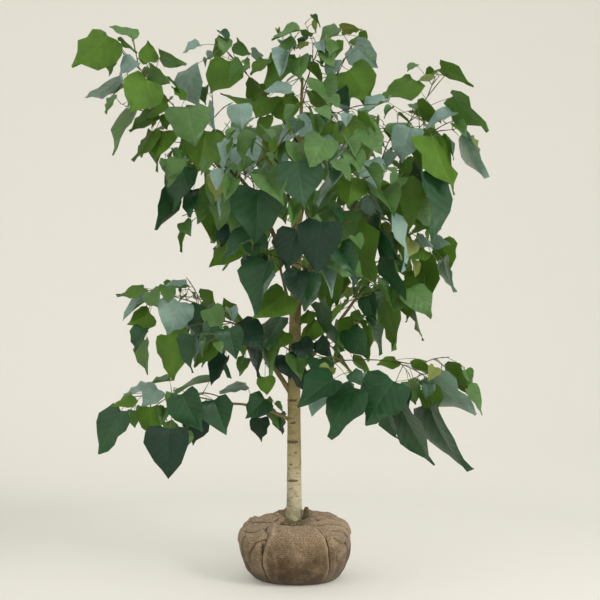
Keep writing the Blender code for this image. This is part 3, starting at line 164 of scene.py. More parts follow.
SPRAYS = tuple(Spray(*row) for row in (
    ("foliage_top_left", "bough_left_upper", 1.0, (-0.665, -0.14, 1.925), 0.155, 2, 2, 0.01, 0.0, 1.1),
    ("foliage_shoulder_high", "bough_left_upper", 0.9, (-0.615, 0.02, 1.7), 0.15, 2, 2, 0.02, 0.1, 1.05),
    ("foliage_left_bunch", "bough_left_upper", 0.78, (-0.305, 0.06, 1.765), 0.13, 1, 2, 0.0, 0.0, 0.95),
    ("foliage_left_back", "bough_left_upper", 0.6, (-0.35, 0.3, 1.575), 0.17, 2, 8, 0.02, 0.0, 1.0),
    ("foliage_shoulder", "bough_left_main", 0.95, (-0.435, -0.1, 1.465), 0.16, 2, 3, 0.03, 0.3, 1.15),
    ("foliage_left_front", "bough_left_main", 0.9, (-0.165, -0.34, 1.425), 0.17, 2, 4, 0.04, 0.1, 1.2),
    ("foliage_left_under", "bough_left_main", 0.8, (-0.34, 0.04, 1.31), 0.16, 2, 2, 0.03, 0.4, 1.15),
    ("foliage_slender_left", "bough_left_slender", 1.0, (-0.27, 0.05, 1.925), 0.13, 1, 2, 0.0, 0.0, 0.95),
    ("foliage_leader_left", "trunk", 0.985, (-0.045, 0.0, 1.93), 0.12, 1, 3, 0.0, 0.0, 0.85),
    ("foliage_leader_right", "trunk", 0.965, (0.095, -0.04, 1.935), 0.12, 1, 3, 0.0, 0.0, 0.9),
    ("foliage_leader_back", "trunk", 0.925, (0.055, 0.2, 1.865), 0.14, 1, 6, 0.0, 0.0, 0.95),
    ("foliage_right_centre_top", "bough_right_centre", 1.0, (0.2, -0.05, 1.91), 0.14, 2, 2, 0.0, 0.0, 1.0),
    ("foliage_right_centre_front", "bough_right_centre", 0.86,
     (0.17, -0.28, 1.615), 0.16, 2, 4, 0.02, 0.0, 1.05),
    ("foliage_right_top", "bough_right_upper", 1.0, (0.54, -0.03, 1.81), 0.15, 2, 1, 0.01, 0.0, 1.15),
    ("foliage_right_far", "bough_right_upper", 0.92, (0.56, -0.1, 1.6), 0.15, 2, 1, 0.02, 0.2, 1.15),
    ("foliage_right_back", "bough_right_upper", 0.8, (0.4, 0.28, 1.67), 0.16, 2, 8, 0.02, 0.0, 1.0),
    ("foliage_right_shoulder", "bough_right_upper", 0.66, (0.43, -0.14, 1.4), 0.16, 2, 2, 0.03, 0.4, 1.1),
    ("foliage_right_hanging", "bough_right_main", 0.94, (0.335, -0.2, 1.27), 0.16, 2, 2, 0.03, 0.5, 1.15),
    ("foliage_right_front", "bough_right_main", 0.88, (0.185, -0.34, 1.415), 0.17, 2, 5, 0.03, 0.1, 1.1),
    ("foliage_right_behind", "bough_right_main", 0.76, (0.255, 0.28, 1.38), 0.17, 2, 9, 0.02, 0.0, 1.0),
    ("foliage_right_middle_far", "bough_right_middle", 1.0, (0.53, 0.05, 1.225), 0.15, 2, 3, 0.02, 0.2, 1.0),
    ("foliage_right_middle_low", "bough_right_middle", 0.9,
     (0.395, -0.12, 1.03), 0.15, 2, 2, 0.02, 0.4, 1.05),
    ("foliage_right_middle_back", "bough_right_middle", 0.78, (0.275, 0.3, 1.0), 0.15, 2, 7, 0.02, 0.1, 1.0),
    ("foliage_right_inner", "bough_right_middle", 0.55, (0.225, -0.14, 0.925), 0.14, 1, 2, 0.02, 0.3, 1.0),
    ("foliage_left_tier_far", "bough_left_tier", 1.0, (-0.57, -0.04, 1.03), 0.17, 2, 2, 0.03, 0.5, 0.95),
    ("foliage_left_tier_front", "bough_left_tier", 0.9, (-0.325, -0.26, 0.915), 0.16, 2, 3, 0.03, 0.6, 1.0),
    ("foliage_left_tier_back", "bough_left_tier", 0.8, (-0.305, 0.24, 0.915), 0.15, 2, 7, 0.03, 0.5, 0.95),
    ("foliage_left_low_far", "bough_left_low", 1.0, (-0.59, -0.08, 0.655), 0.17, 1, 1, 0.02, 0.8, 1.05),
    ("foliage_left_low_front", "bough_left_low", 0.92, (-0.405, -0.16, 0.655), 0.19, 1, 0, 0.03, 0.9, 1.3),
    ("foliage_left_low_near", "bough_left_low", 0.66, (-0.125, 0.1, 0.605), 0.13, 0, 1, 0.01, 0.5, 0.75),
    ("foliage_right_low_far", "bough_right_low", 1.0, (0.56, -0.08, 0.735), 0.2, 2, 0, 0.02, 0.8, 1.15),
    ("foliage_right_low_front", "bough_right_low", 0.8, (0.185, -0.26, 0.75), 0.17, 1, 2, 0.03, 0.7, 1.25),
    ("foliage_back_high_left", "bough_back_high", 1.0, (-0.105, 0.48, 1.675), 0.17, 2, 9, 0.02, 0.0, 1.0),
    ("foliage_back_high_right", "bough_back_high", 0.88, (0.195, 0.46, 1.585), 0.17, 2, 9, 0.02, 0.0, 1.0),
    ("foliage_back_low_left", "bough_back_low", 1.0, (-0.21, 0.44, 1.27), 0.16, 2, 8, 0.02, 0.1, 1.0),
    ("foliage_back_low_right", "bough_back_low", 0.88, (0.095, 0.52, 1.22), 0.17, 2, 8, 0.02, 0.1, 1.0),
    ("foliage_front_high_left", "bough_front_high", 1.0, (-0.095, -0.46, 1.485), 0.17, 2, 6, 0.02, 0.0, 1.1),
    ("foliage_front_high_right", "bough_front_high", 0.86, (0.095, -0.44, 1.455), 0.16, 2, 5, 0.02, 0.0, 1.1),
    ("foliage_front_low", "bough_front_low", 1.0, (0.08, -0.44, 1.225), 0.16, 2, 4, 0.02, 0.2, 1.15),
    ("foliage_front_low_left", "bough_front_low", 0.8, (-0.11, -0.32, 1.125), 0.15, 1, 2, 0.02, 0.3, 1.1),
    ("foliage_inner_left", "trunk", 0.375, (-0.155, -0.08, 0.86), 0.12, 1, 3, 0.02, 0.3, 0.8),
    ("foliage_inner_right", "trunk", 0.33, (0.095, -0.1, 0.825), 0.13, 1, 3, 0.02, 0.4, 0.9),
))

MARKS = tuple(Mark(*row) for row in (
    (108, 36, 75, 69, 35, -0.15, BRIGHT), (111, 49, 106, 76, 18, -0.17, BRIGHT, -1),
    (134, 40, 112, 24, 9, -0.16, MID), (135, 60, 119, 72, 15, -0.16, SHEEN),
    (150, 62, 147, 41, 18, -0.12, BRIGHT), (160, 56, 183, 68, 12, -0.1, MID),
    (150, 69, 168, 84, 15, -0.12, MID), (148, 80, 129, 114, 41, -0.18, BRIGHT),
    (122, 78, 92, 103, 10, -0.14, SHEEN, -1), (121, 42, 139, 49, 8, -0.08, BRIGHT),
    (160, 101, 149, 121, 14, -0.08, BRIGHT), (134, 112, 110, 152, 13, -0.1, MID),
    (152, 112, 133, 134, 15, -0.06, BRIGHT), (152, 131, 136, 162, 12, -0.06, BRIGHT),
    (163, 131, 157, 159, 23, -0.08, BRIGHT), (164, 114, 168, 130, 15, -0.02, BRIGHT),
    (186, 70, 194, 109, 25, 0.02, SHEEN), (184, 110, 194, 120, 13, 0.03, BRIGHT),
    (186, 96, 171, 88, 8, 0.02, BRIGHT), (228, 61, 214, 96, 32, 0.02, BRIGHT),
    (205, 87, 203, 103, 12, 0.05, MID), (206, 118, 198, 130, 8, 0.0, BRIGHT),
    (188, 130, 182, 161, 20, -0.08, BRIGHT), (206, 131, 198, 172, 42, -0.12, BRIGHT, -1),
    (186, 168, 168, 206, 28, -0.14, DARK), (173, 193, 164, 230, 22, -0.12, DARK, -1),
    (193, 190, 186, 215, 14, -0.1, DARK), (219, 190, 206, 241, 38, 0.0, BRIGHT, -1),
    (232, 242, 212, 269, 26, -0.02, BRIGHT), (230, 226, 221, 246, 17, -0.06, DEEP),
    (258, 190, 256, 242, 50, -0.36, DARK), (244, 139, 250, 173, 40, -0.3, SHEEN),
    (252, 228, 219, 256, 14, -0.34, DARK), (240, 104, 242, 128, 25, -0.22, SHEEN),
    (200, 45, 183, 50, 8, 0.04, SHEEN), (215, 36, 199, 47, 12, 0.03, BRIGHT),
    (220, 43, 211, 60, 12, 0.08, BRIGHT, -1), (231, 44, 224, 36, 9, 0.05, YOUNG),
    (237, 42, 249, 55, 13, 0.04, MID), (252, 52, 262, 57, 9, 0.06, SHEEN), (300, 30, 272, 38, 10, 0.0, MID),
    (296, 44, 277, 47, 9, -0.02, MID), (283, 58, 272, 96, 27, -0.04, BRIGHT),
    (291, 91, 265, 88, 9, -0.06, SHEEN), (268, 97, 257, 119, 20, 0.03, BRIGHT),
    (264, 117, 259, 141, 15, 0.0, BRIGHT), (302, 124, 275, 140, 15, -0.08, SHEEN),
    (301, 31, 315, 34, 6, -0.02, MID), (252, 99, 221, 96, 7, 0.04, BRIGHT),
    (264, 59, 252, 76, 13, 0.0, BRIGHT), (283, 97, 287, 126, 38, 0.02, BRIGHT),
    (304, 42, 297, 51, 8, -0.04, YOUNG), (333, 41, 324, 66, 21, -0.05, BRIGHT),
    (338, 28, 318, 38, 10, -0.03, MID), (342, 30, 362, 27, 13, -0.05, YOUNG),
    (313, 114, 305, 140, 25, -0.02, BRIGHT), (355, 46, 375, 68, 27, -0.06, SHEEN),
    (358, 36, 368, 50, 14, -0.03, BRIGHT), (349, 70, 373, 103, 40, -0.08, BRIGHT),
    (335, 60, 328, 78, 14, -0.06, SHEEN), (318, 93, 352, 122, 18, -0.22, SHEEN),
    (386, 100, 353, 119, 12, -0.2, SHEEN), (336, 122, 328, 152, 30, -0.16, BRIGHT),
    (341, 89, 347, 107, 15, -0.12, DARK), (364, 119, 354, 149, 30, -0.1, BRIGHT),
    (332, 184, 318, 208, 20, -0.2, BRIGHT), (346, 162, 334, 183, 20, -0.2, BRIGHT),
    (340, 146, 314, 176, 26, -0.26, SHEEN), (413, 79, 384, 104, 26, -0.04, BRIGHT),
    (441, 68, 475, 81, 14, -0.05, BRIGHT), (448, 74, 436, 105, 28, -0.06, BRIGHT),
    (430, 74, 417, 82, 8, -0.02, YOUNG), (416, 64, 407, 69, 6, 0.0, MID),
    (418, 107, 443, 118, 16, -0.08, BRIGHT), (453, 96, 482, 134, 20, -0.1, MID),
    (432, 136, 452, 194, 30, -0.14, BRIGHT, -1), (460, 137, 477, 180, 12, -0.08, SHEEN),
    (410, 128, 400, 160, 30, -0.14, SHEEN), (394, 152, 384, 167, 12, -0.12, SHEEN),
    (404, 160, 405, 185, 13, -0.1, BRIGHT), (452, 112, 425, 125, 13, -0.12, SHEEN),
    (396, 184, 408, 233, 45, -0.18, BRIGHT), (413, 160, 423, 191, 12, -0.16, DARK),
    (422, 172, 443, 234, 22, -0.2, DARK, -1), (370, 160, 376, 188, 32, -0.22, SHEEN),
    (377, 214, 398, 268, 16, -0.3, DARK), (387, 214, 411, 266, 12, -0.26, SHEEN, -1),
    (351, 232, 382, 281, 34, -0.24, BRIGHT), (370, 196, 378, 220, 15, -0.26, SHEEN),
    (392, 250, 404, 300, 15, -0.24, DARK), (352, 178, 348, 208, 34, -0.34, BRIGHT),
    (345, 160, 312, 198, 14, -0.36, SHEEN), (440, 243, 453, 270, 24, 0.02, BRIGHT),
    (443, 259, 451, 292, 12, 0.04, SHEEN), (418, 261, 437, 313, 24, 0.03, BRIGHT),
    (413, 222, 428, 228, 12, 0.04, BRIGHT), (425, 224, 411, 236, 10, 0.0, BRIGHT),
    (418, 210, 436, 232, 12, 0.02, SHEEN), (432, 238, 449, 246, 12, 0.01, SHEEN),
    (416, 238, 431, 248, 12, -0.02, SHEEN), (425, 250, 404, 258, 12, 0.0, BRIGHT),
    (412, 271, 420, 301, 18, 0.02, BRIGHT), (400, 236, 416, 248, 13, 0.0, BRIGHT),
    (399, 283, 411, 320, 23, -0.06, BRIGHT), (413, 300, 420, 340, 8, -0.04, DARK),
    (385, 303, 401, 347, 24, -0.1, BRIGHT), (368, 296, 374, 321, 20, -0.12, DARK),
    (350, 329, 362, 359, 22, -0.16, DARK), (364, 329, 372, 360, 13, -0.14, BRIGHT),
    (327, 273, 332, 312, 26, -0.12, BRIGHT), (340, 262, 326, 272, 10, -0.08, BRIGHT),
    (310, 311, 301, 326, 12, -0.04, BRIGHT), (318, 340, 330, 357, 17, -0.14, DEEP),
    (321, 302, 335, 352, 16, -0.18, DARK), (316, 320, 301, 343, 18, -0.06, BRIGHT),
    (340, 276, 338, 301, 17, -0.05, BRIGHT), (338, 320, 341, 357, 22, -0.1, BRIGHT),
    (144, 288, 120, 301, 11, -0.04, BRIGHT), (179, 302, 168, 337, 46, -0.16, SHEEN),
    (150, 313, 128, 326, 22, -0.08, BRIGHT), (143, 328, 133, 350, 17, -0.1, DARK),
    (146, 340, 141, 373, 11, -0.06, MID), (150, 299, 121, 315, 6, -0.08, SHEEN),
    (164, 285, 176, 303, 13, -0.02, BRIGHT), (168, 335, 177, 379, 35, -0.24, BRIGHT),
    (193, 336, 188, 371, 19, -0.28, DARK), (212, 338, 200, 369, 17, -0.24, BRIGHT),
    (229, 329, 236, 358, 33, -0.3, DARK), (212, 324, 207, 340, 17, -0.26, DARK),
    (227, 357, 210, 384, 15, -0.22, DEEP), (200, 295, 221, 306, 12, 0.12, BRIGHT),
    (200, 310, 225, 330, 14, 0.02, BRIGHT), (186, 288, 160, 287, 6, 0.0, SHEEN),
    (222, 308, 247, 321, 14, 0.1, BRIGHT), (121, 411, 97, 452, 26, -0.14, DARK),
    (131, 394, 112, 408, 14, -0.1, BRIGHT), (158, 389, 142, 406, 24, -0.12, SHEEN),
    (150, 388, 124, 391, 10, -0.08, SHEEN), (170, 381, 143, 383, 5, -0.06, MID),
    (150, 407, 151, 437, 28, -0.12, BRIGHT), (182, 394, 199, 431, 36, -0.24, DARK),
    (169, 429, 166, 478, 44, -0.3, DEEP), (214, 400, 226, 434, 37, -0.2, DARK),
    (212, 377, 174, 384, 7, -0.14, MID), (265, 399, 246, 418, 26, 0.02, DARK),
    (261, 418, 260, 441, 19, 0.0, DEEP), (281, 413, 280, 434, 13, 0.04, DARK),
    (246, 385, 220, 387, 8, 0.04, SHEEN), (402, 410, 429, 466, 25, -0.16, DARK),
    (429, 408, 454, 475, 27, -0.16, DARK), (431, 377, 468, 420, 30, -0.14, SHEEN),
    (353, 360, 372, 372, 9, -0.04, BRIGHT), (334, 358, 355, 373, 8, -0.02, BRIGHT),
    (456, 377, 470, 392, 12, -0.08, BRIGHT), (412, 367, 437, 372, 9, -0.06, BRIGHT),
    (427, 389, 437, 415, 24, -0.1, BRIGHT), (445, 367, 469, 390, 10, -0.06, BRIGHT),
    (396, 360, 378, 368, 12, -0.06, BRIGHT), (386, 413, 395, 440, 14, -0.12, DARK),
    (334, 379, 297, 404, 28, -0.28, DARK), (355, 388, 322, 430, 30, -0.3, DARK),
    (393, 381, 365, 423, 44, -0.26, DARK), (298, 162, 304, 206, 46, -0.48, DARK),
    (322, 222, 312, 270, 40, -0.44, DEEP), (297, 231, 284, 270, 32, -0.42, DEEP),
    (268, 262, 252, 312, 30, -0.32, DARK), (285, 293, 254, 319, 32, -0.3, BRIGHT),
    (297, 272, 297, 300, 30, -0.36, DEEP), (255, 257, 258, 286, 28, -0.3, DEEP),
    (265, 377, 267, 395, 18, -0.1, BRIGHT), (285, 332, 272, 351, 17, -0.12, BRIGHT),
    (281, 317, 264, 346, 16, -0.16, DARK), (256, 343, 254, 376, 15, -0.1, DEEP),
    (246, 358, 238, 374, 13, -0.06, MID), (270, 340, 266, 374, 14, -0.08, MID),
    (300, 341, 312, 360, 22, -0.12, DEEP), (298, 368, 302, 392, 16, -0.1, DEEP),
))


# ---- lines and tubes
def interpolate(table: tuple, value: float) -> float:
    """Read a table of (key, amount) pairs at a value.

    Args:
        table: pairs in rising order of their keys.
        value: where to read it.

    Returns:
        The amount, which stays at the last pair's beyond it.
    """
    for (low, first), (high, last) in zip(table, table[1:]):
        if value <= high:
            share = (value - low) / (high - low)
            return first + (last - first) * share
    return table[-1][1]


@dataclass
class Line:
    """The bent centre line of a limb or twig, with a radius at each of its points."""
    points: list[Vector]
    radii: list[float]
    foot_heading: Vector | None = None  # the way that the cut at its foot faces

    @property
    def length(self) -> float:
        """Length along the points."""
        return sum((b - a).length for a, b in zip(self.points, self.points[1:]))

    def place(self, share: float) -> tuple[Vector, Vector]:
        """Point and direction at a share of the line's length.

        Args:
            share: from 0 at the foot to 1 at the tip.

        Returns:
            The point, and the direction towards the tip.
        """
        left = clamp(share) * self.length
        for start, end in zip(self.points, self.points[1:]):
            step = end - start
            if left <= step.length or end is self.points[-1]:
                return start + step.normalized() * left, step.normalized()
            left -= step.length
        return self.points[-1].copy(), (self.points[-1] - self.points[-2]).normalized()

    def headings(self) -> list[Vector]:
        """The way that a cut through each point faces, mitred at the bends.

        Returns:
            One direction for each point.
        """
        steps = [(b - a).normalized() for a, b in zip(self.points, self.points[1:])]
        bends = [(a + b).normalized() for a, b in zip(steps, steps[1:])]
        return [self.foot_heading or steps[0]] + bends + [steps[-1]]

    def smoothed(self, stations: int) -> "Line":
        """The same line drawn as a smooth curve through its points.

        Args:
            stations: how many stretches the curve is cut into.

        Returns:
            A line with stations + 1 points.
        """
        ends = [self.points[0] * 2 - self.points[1]] + self.points + [self.points[-1] * 2 - self.points[-2]]
        spans = len(self.points) - 1
        points = []
        radii = []
        for index in range(stations + 1):
            along = index / stations * spans
            span = min(int(along), spans - 1)
            share = along - span
            a, b, c, d = ends[span:span + 4]
            points.append(0.5 * (
                b * 2 + (c - a) * share + (a * 2 - b * 5 + c * 4 - d) * share ** 2
                + (b * 3 - a - c * 3 + d) * share ** 3))
            radii.append(self.radii[span] + (self.radii[span + 1] - self.radii[span]) * share)
        return Line(points, radii)


def bent_line(
        foot: Vector, tip: Vector, bow: float, radii: tuple[float, float], stations: int,
        foot_heading: Vector | None = None) -> Line:
    """A line whose middle rises, thinning evenly.

    Args:
        foot: where it starts.
        tip: where it ends.
        bow: rise of its middle above a straight line.
        radii: at the foot and at the tip.
        stations: how many stretches it has.
        foot_heading: the way that the cut at its foot faces, where that isn't square.

    Returns:
        The line.
    """
    points = []
    sizes = []
    for index in range(stations + 1):
        share = index / stations
        rise = UP * (bow * 4.0 * share * (1.0 - share))
        points.append(foot.lerp(tip, share) + rise)
        sizes.append(radii[0] + (radii[1] - radii[0]) * share)
    return Line(points, sizes, foot_heading)


def add_tube(mesh: Mesh, line: Line, sides: int, grow: float = 0.0) -> None:
    """Skin a closed tapering tube round a line: a ring at each point, bridged to the next.

    Args:
        mesh: takes the tube.
        line: its centre line.
        sides: of each ring.
        grow: added to each radius.
    """
    headings = line.headings()
    turn = UP.rotation_difference(headings[0])
    last_ring = None
    for index, point in enumerate(line.points):
        if index:
            turn = headings[index - 1].rotation_difference(headings[index]) @ turn
        is_end = index in (0, len(line.points) - 1)
        placing = Matrix.Translation(point) @ turn.to_matrix().to_4x4()
        made = bmesh.ops.create_circle(
            mesh, cap_ends=is_end, segments=sides, radius=line.radii[index] + grow, matrix=placing)
        ring = {edge for vert in made["verts"] for edge in vert.link_edges}
        if last_ring:
            bmesh.ops.bridge_loops(mesh, edges=list(last_ring | ring))
        last_ring = ring


# ---- the trunk's and boughs' lines
@dataclass(frozen=True)
class Frontage:
    """The front elevation, on which leaves are marked in steps of columns and rows."""
    eye: Vector = field(default_factory=lambda: Vector((0.0162, -4.5, 1.0)))
    step: float = 0.0036  # one step at the trunk's depth
    eye_place: float = 300  # column and row in line with the eye

    def step_at(self, depth: float) -> float:
        """Size of one step at a depth behind the trunk."""
        return self.step * (depth - self.eye.y) / -self.eye.y

    def place(self, column: float, row: float, depth: float) -> Vector:
        """The place behind a point of the elevation.

        Args:
            column, row: of the point.
            depth: metres behind the trunk.

        Returns:
            The place in space.
        """
        step = self.step_at(depth)
        return Vector((
            self.eye.x + (column - self.eye_place) * step, depth, self.eye.z - (row - self.eye_place) * step))


FRONTAGE = Frontage()


@dataclass(frozen=True)
class Framework:
    """The lines of the tree's trunk and boughs."""
    trunk_x: float = -0.005
    soil_height: float = 0.206
    trunk_top: float = 1.800
    lean: float = 0.030  # the top stands this far to the right of the foot
    lean_start: float = 0.640  # height at which the lean begins
    lean_power: float = 1.4
    foot_heights: tuple[float, float] = (0.235, 0.265)
    taper: tuple = (  # height, radius: root flare, then an even taper to the tip
        (0.235, 0.0266), (0.300, 0.0250), (0.490, 0.0225), (1.000, 0.0190), (1.360, 0.0120),
        (1.570, 0.0078), (1.800, 0.0040))
    foot_radius: float = 0.0290
    stations: int = 16
    limb_stations: int = 5

    @property
    def trunk_foot(self) -> float:
        """Height of the trunk's flat cut."""
        return self.soil_height + CLEARANCE

    def trunk_line(self) -> Line:
        """The trunk's line: upright, then leaning to the right above lean_start.

        Returns:
            The line, from the flat cut at its foot to its tip.
        """
        points = []
        radii = []
        heights = [self.trunk_foot, *self.foot_heights]
        rest = self.stations - len(heights)
        clear = self.taper[1][0]
        heights += [clear + (self.trunk_top - clear) * index / rest for index in range(rest + 1)]
        taper = ((self.trunk_foot, self.foot_radius), *self.taper)
        for height in heights:
            share = max(0.0, (height - self.lean_start) / (self.trunk_top - self.lean_start))
            points.append(Vector((self.trunk_x + self.lean * share ** self.lean_power, 0.0, height)))
            radii.append(interpolate(taper, height))
        return Line(points, radii)

    def limb_lines(self) -> dict[str, Line]:
        """The line of the trunk and of each bough, by name.

        Returns:
            The lines, each after its host.
        """
        lines = {"trunk": self.trunk_line()}
        for bough in BOUGHS:
            foot, foot_heading = foot_on(lines[bough.host], bough.at)
            lines[bough.name] = bent_line(
                foot, Vector(bough.tip), bough.bow, (bough.foot_radius, bough.tip_radius),
                self.limb_stations, foot_heading)
        return lines


FRAMEWORK = Framework()


def foot_on(host: Line, at: float) -> tuple[Vector, Vector | None]:
    """Foot of a limb on its host.

    Args:
        host: the line that it grows from.
        at: the place, as a share of the host's length.

    Returns:
        The foot, and the way that it faces where the limb carries on from the host's tip.
    """
    foot, heading = host.place(at)
    return (foot + heading * CLEARANCE, heading) if at == 1.0 else (foot, None)


# ---- growth of the crown
@dataclass
class Leaf:
    """One leaf: its petiole from root to base, and the frame of its blade."""
    root: Vector
    base: Vector
    along: Vector
    across: Vector
    face: Vector  # out of the upper side
    length: float
    fold: float  # angle of each half above the blade's plane
    curl: float  # how far the tip bends back, as a share of the length
    tone: Tone = MID

    def point(self, half_width: float, down: float, lift: float = 0.0) -> Vector:
        """Place a point of the blade.

        Args:
            half_width: distance from the midrib, as a share of the leaf's length.
            down: distance along the midrib, as a share of the leaf's length.
            lift: distance above the blade, in metres.

        Returns:
            The point in space.
        """
        out = half_width * self.length
        rise = abs(out) * math.sin(self.fold) - self.curl * down * down * self.length + lift
        return (self.base + self.along * (down * self.length)
                + self.across * (out * math.cos(self.fold)) + self.face * rise)


class Thicket:
    """The room that limbs, twigs and leaves already take up."""

    def __init__(self) -> None:
        """Start with nothing taken."""
        self.taken: list[tuple] = []

    def add(self, shell: Mesh, owner: object = None) -> None:
        """Take up the room of a shell, which is used up."""
        self.taken.append((owner, *bounds_of(shell), BVHTree.FromBMesh(shell)))
        shell.free()

    def take(self, shell: Mesh, owner: object = None) -> bool:
        """Take up the room of a shell if it touches nothing, apart from what its owner holds.

        Args:
            shell: the room wanted; it is used up.
            owner: whose own room it may touch.

        Returns:
            Whether the room was free.
        """
        low, high = bounds_of(shell)
        tree = BVHTree.FromBMesh(shell)
        shell.free()
        for holder, other_low, other_high, other in self.taken:
            is_near = all(low[i] <= other_high[i] and high[i] >= other_low[i] for i in range(3))
            if is_near and (owner is None or holder != owner) and tree.overlap(other):
                return False
        self.taken.append((owner, low, high, tree))
        return True


def bounds_of(mesh: Mesh) -> tuple[list[float], list[float]]:
    """Lowest and highest corner of a mesh.

    Args:
        mesh: any mesh.

    Returns:
        The two corners.
    """
    places = [vert.co for vert in mesh.verts]
    low = [min(place[i] for place in places) for i in range(3)]
    high = [max(place[i] for place in places) for i in range(3)]
    return low, high


def distance_to_chord(point: Vector, start: Vector, end: Vector) -> float:
    """How far a point lies from the straight line between start and end.

    Args:
        point: the point.
        start, end: of the line.

    Returns:
        The distance.
    """
    chord = end - start
    share = clamp((point - start).dot(chord) / chord.length_squared)
    return (point - start - chord * share).length


def upright_frame(direction: Vector) -> tuple[Vector, Vector]:
    """Two directions square to a twig: sideways, and the one nearest to up.

    Args:
        direction: of the twig.

    Returns:
        The two directions.
    """
    side = direction.cross(UP)
    side = side.normalized() if side.length > 0.05 else direction.cross(Vector((0, 1, 0))).normalized()
    return side, side.cross(direction).normalized()


def hangs_free(leaf: Leaf) -> bool:
    """Whether the petiole reaches the blade from beyond its notch, or else from below it.

    Args:
        leaf: which has its root.

    Returns:
        True where it does.
    """
    back = (leaf.root - leaf.base).normalized()
    sideways = abs(back.dot(leaf.across))
    is_beyond = back.dot(leaf.along) < 0.1 and back.dot(leaf.face) < 0.7 and sideways < 0.8
    is_below = back.dot(leaf.face) < 0.1 and back.dot(leaf.along) < 0.6 and sideways < 0.5
    return is_beyond or is_below


@dataclass(frozen=True)
class Growth:
    """The seeded rule by which the tree's masses of foliage grow, with its sizes."""
    leaf_length: float = 0.125  # from the petiole to the tip of the blade
    leaf_spread: float = 0.28  # leaves are up to this share longer or shorter
    widest: float = 0.48  # half of the blade's width, as a share of its length
    heart: tuple = ((0.00, 1.00), (0.18, 0.77), (0.48, 0.31), (0.30, -0.10), (0.00, 0.00))
    blade_centre: float = 0.36
    petiole_length: float = 0.075
    petiole_radius: float = 0.0012
    petiole_free: float = 0.12  # share of the petiole that lies in or close to its twig
    shortest_petiole: float = 0.012
    longest_petiole: float = 0.24
    depth_shifts: tuple = (0.0, -0.02, 0.02, -0.04, 0.04, -0.06, 0.06, -0.09, 0.09, 0.12, 0.15)
    tip_dip: float = 0.02  # the tip of a marked leaf lies this much nearer the front
    mark_fold: float = math.radians(12)
    mark_curl: float = 0.04
    internode: float = 0.070  # distance between leaves along a twig
    last_leaf: float = 0.97  # place of the last leaf, as a share of the twig's length
    divergence: float = math.radians(144)
    leaf_ahead: float = 0.45  # how far a petiole leans on along its twig
    leaf_sag: float = 0.15  # how far it sags, before its mass's own droop
    petiole_spread: tuple = (0.75, 1.15)
    light: Vector = field(default_factory=lambda: Vector((0.15, -1.0, 0.0)).normalized())
    turn_to_light: float = 0.55  # how far blades turn towards the light
    light_spread: tuple = (0.4, 1.2)
    hang: tuple = (26, 70)  # least and most degrees below level that a blade hangs
    hang_droop: tuple = (20, 14)  # degrees more for each unit of its mass's droop
    blade_spin: float = 32  # degrees that a blade turns in its plane, either way
    blade_roll: float = 28  # degrees that it rolls about its midrib, either way
    folds: tuple = (8, 14, 20, 26, 48)  # degrees that each half folds up
    curls: tuple = (0.02, 0.16)  # how far tips bend back
    tip_loss: float = 0.25  # leaves at a twig's tip are smaller by this share
    bare: tuple = (0.20, 0.35)  # share of a stem and of a side twig below its first leaf
    mark_bare: tuple = (0.15, 0.30)  # the same for the petioles of marked leaves
    mark_places: int = 12  # steps along a twig at which those may root
    narrowest: float = 0.15  # a marked leaf is never seen narrower than this share
    twig_radius: float = 0.0030
    twig_tip_radius: float = 0.0020
    side_twig: float = 0.8  # thickness of a side twig's foot beside its stem's
    side_twig_bow: float = 0.008
    side_twigs_from: float = 0.28  # the stretch of the stem that bears side twigs
    side_twigs_along: float = 0.52
    stem_stations: int = 5
    side_twig_stations: int = 2
    limb_sides: int = 6
    shell_sides: int = 3  # of a petiole's or twig's tested shape
    seed: int = 1
    tries: int = 7  # turns that a leaf tries before it is skipped
    next_turn: float = 0.9  # from one try to the next
    shy: float = 1.06  # a leaf is tested this much larger than it is
    shy_thickness: float = 0.007
    room: float = 0.001  # wood is tested this much thicker than it is

    # the shells that are tested
    def blade_shell(self, leaf: Leaf) -> Mesh:
        """The room that a blade needs: two fans of facets that meet along the rim.

        Args:
            leaf: whose blade it is.

        Returns:
            The shell.
        """
        mesh = bmesh.new()
        self.add_blade_shell(mesh, leaf)
        return mesh

    def add_blade_shell(self, mesh: Mesh, leaf: Leaf) -> None:
        """Add the room that a blade needs to a mesh.

        Args:
            mesh: takes the shell.
            leaf: whose blade it is.
        """
        rim = list(self.heart) + [(-width, down) for width, down in reversed(self.heart[1:-1])]
        made = bmesh.ops.create_uvsphere(mesh, u_segments=len(rim), v_segments=2, radius=1.0)
        for vert in made["verts"]:
            if abs(vert.co.z) > 0.5:
                vert.co = leaf.point(
                    0.0, self.blade_centre, math.copysign(self.shy_thickness / 2.0, vert.co.z))
                continue
            turn = math.atan2(vert.co.x, vert.co.y) % math.tau
            half_width, down = rim[round(turn / math.tau * len(rim)) % len(rim)]
            down = self.blade_centre + (down - self.blade_centre) * self.shy
            vert.co = leaf.point(half_width * self.shy, down)

    def farthest(self, leaf: Leaf, foot: Vector, tip: Vector) -> float:
        """How far the tip half of a leaf's blade strays from the chord of its mass's stem."""
        return max(distance_to_chord(leaf.point(*spot), foot, tip) for spot in self.heart[:3])

    def petiole_shell(self, leaf: Leaf) -> Mesh:
        """The room that the free end of a petiole needs.

        Args:
            leaf: whose petiole it is.

        Returns:
            The shell.
        """
        mesh = bmesh.new()
        line = Line(
            [leaf.root.lerp(leaf.base, self.petiole_free), leaf.base.copy()], [self.petiole_radius] * 2)
        add_tube(mesh, line, self.shell_sides, self.room)
        return mesh

    def leaf_shell(self, leaf: Leaf) -> Mesh:
        """The room that a leaf needs: its blade made larger, and the free end of its petiole.

        Args:
            leaf: which has its root.

        Returns:
            The shell.
        """
        mesh = self.petiole_shell(leaf)
        self.add_blade_shell(mesh, leaf)
        return mesh

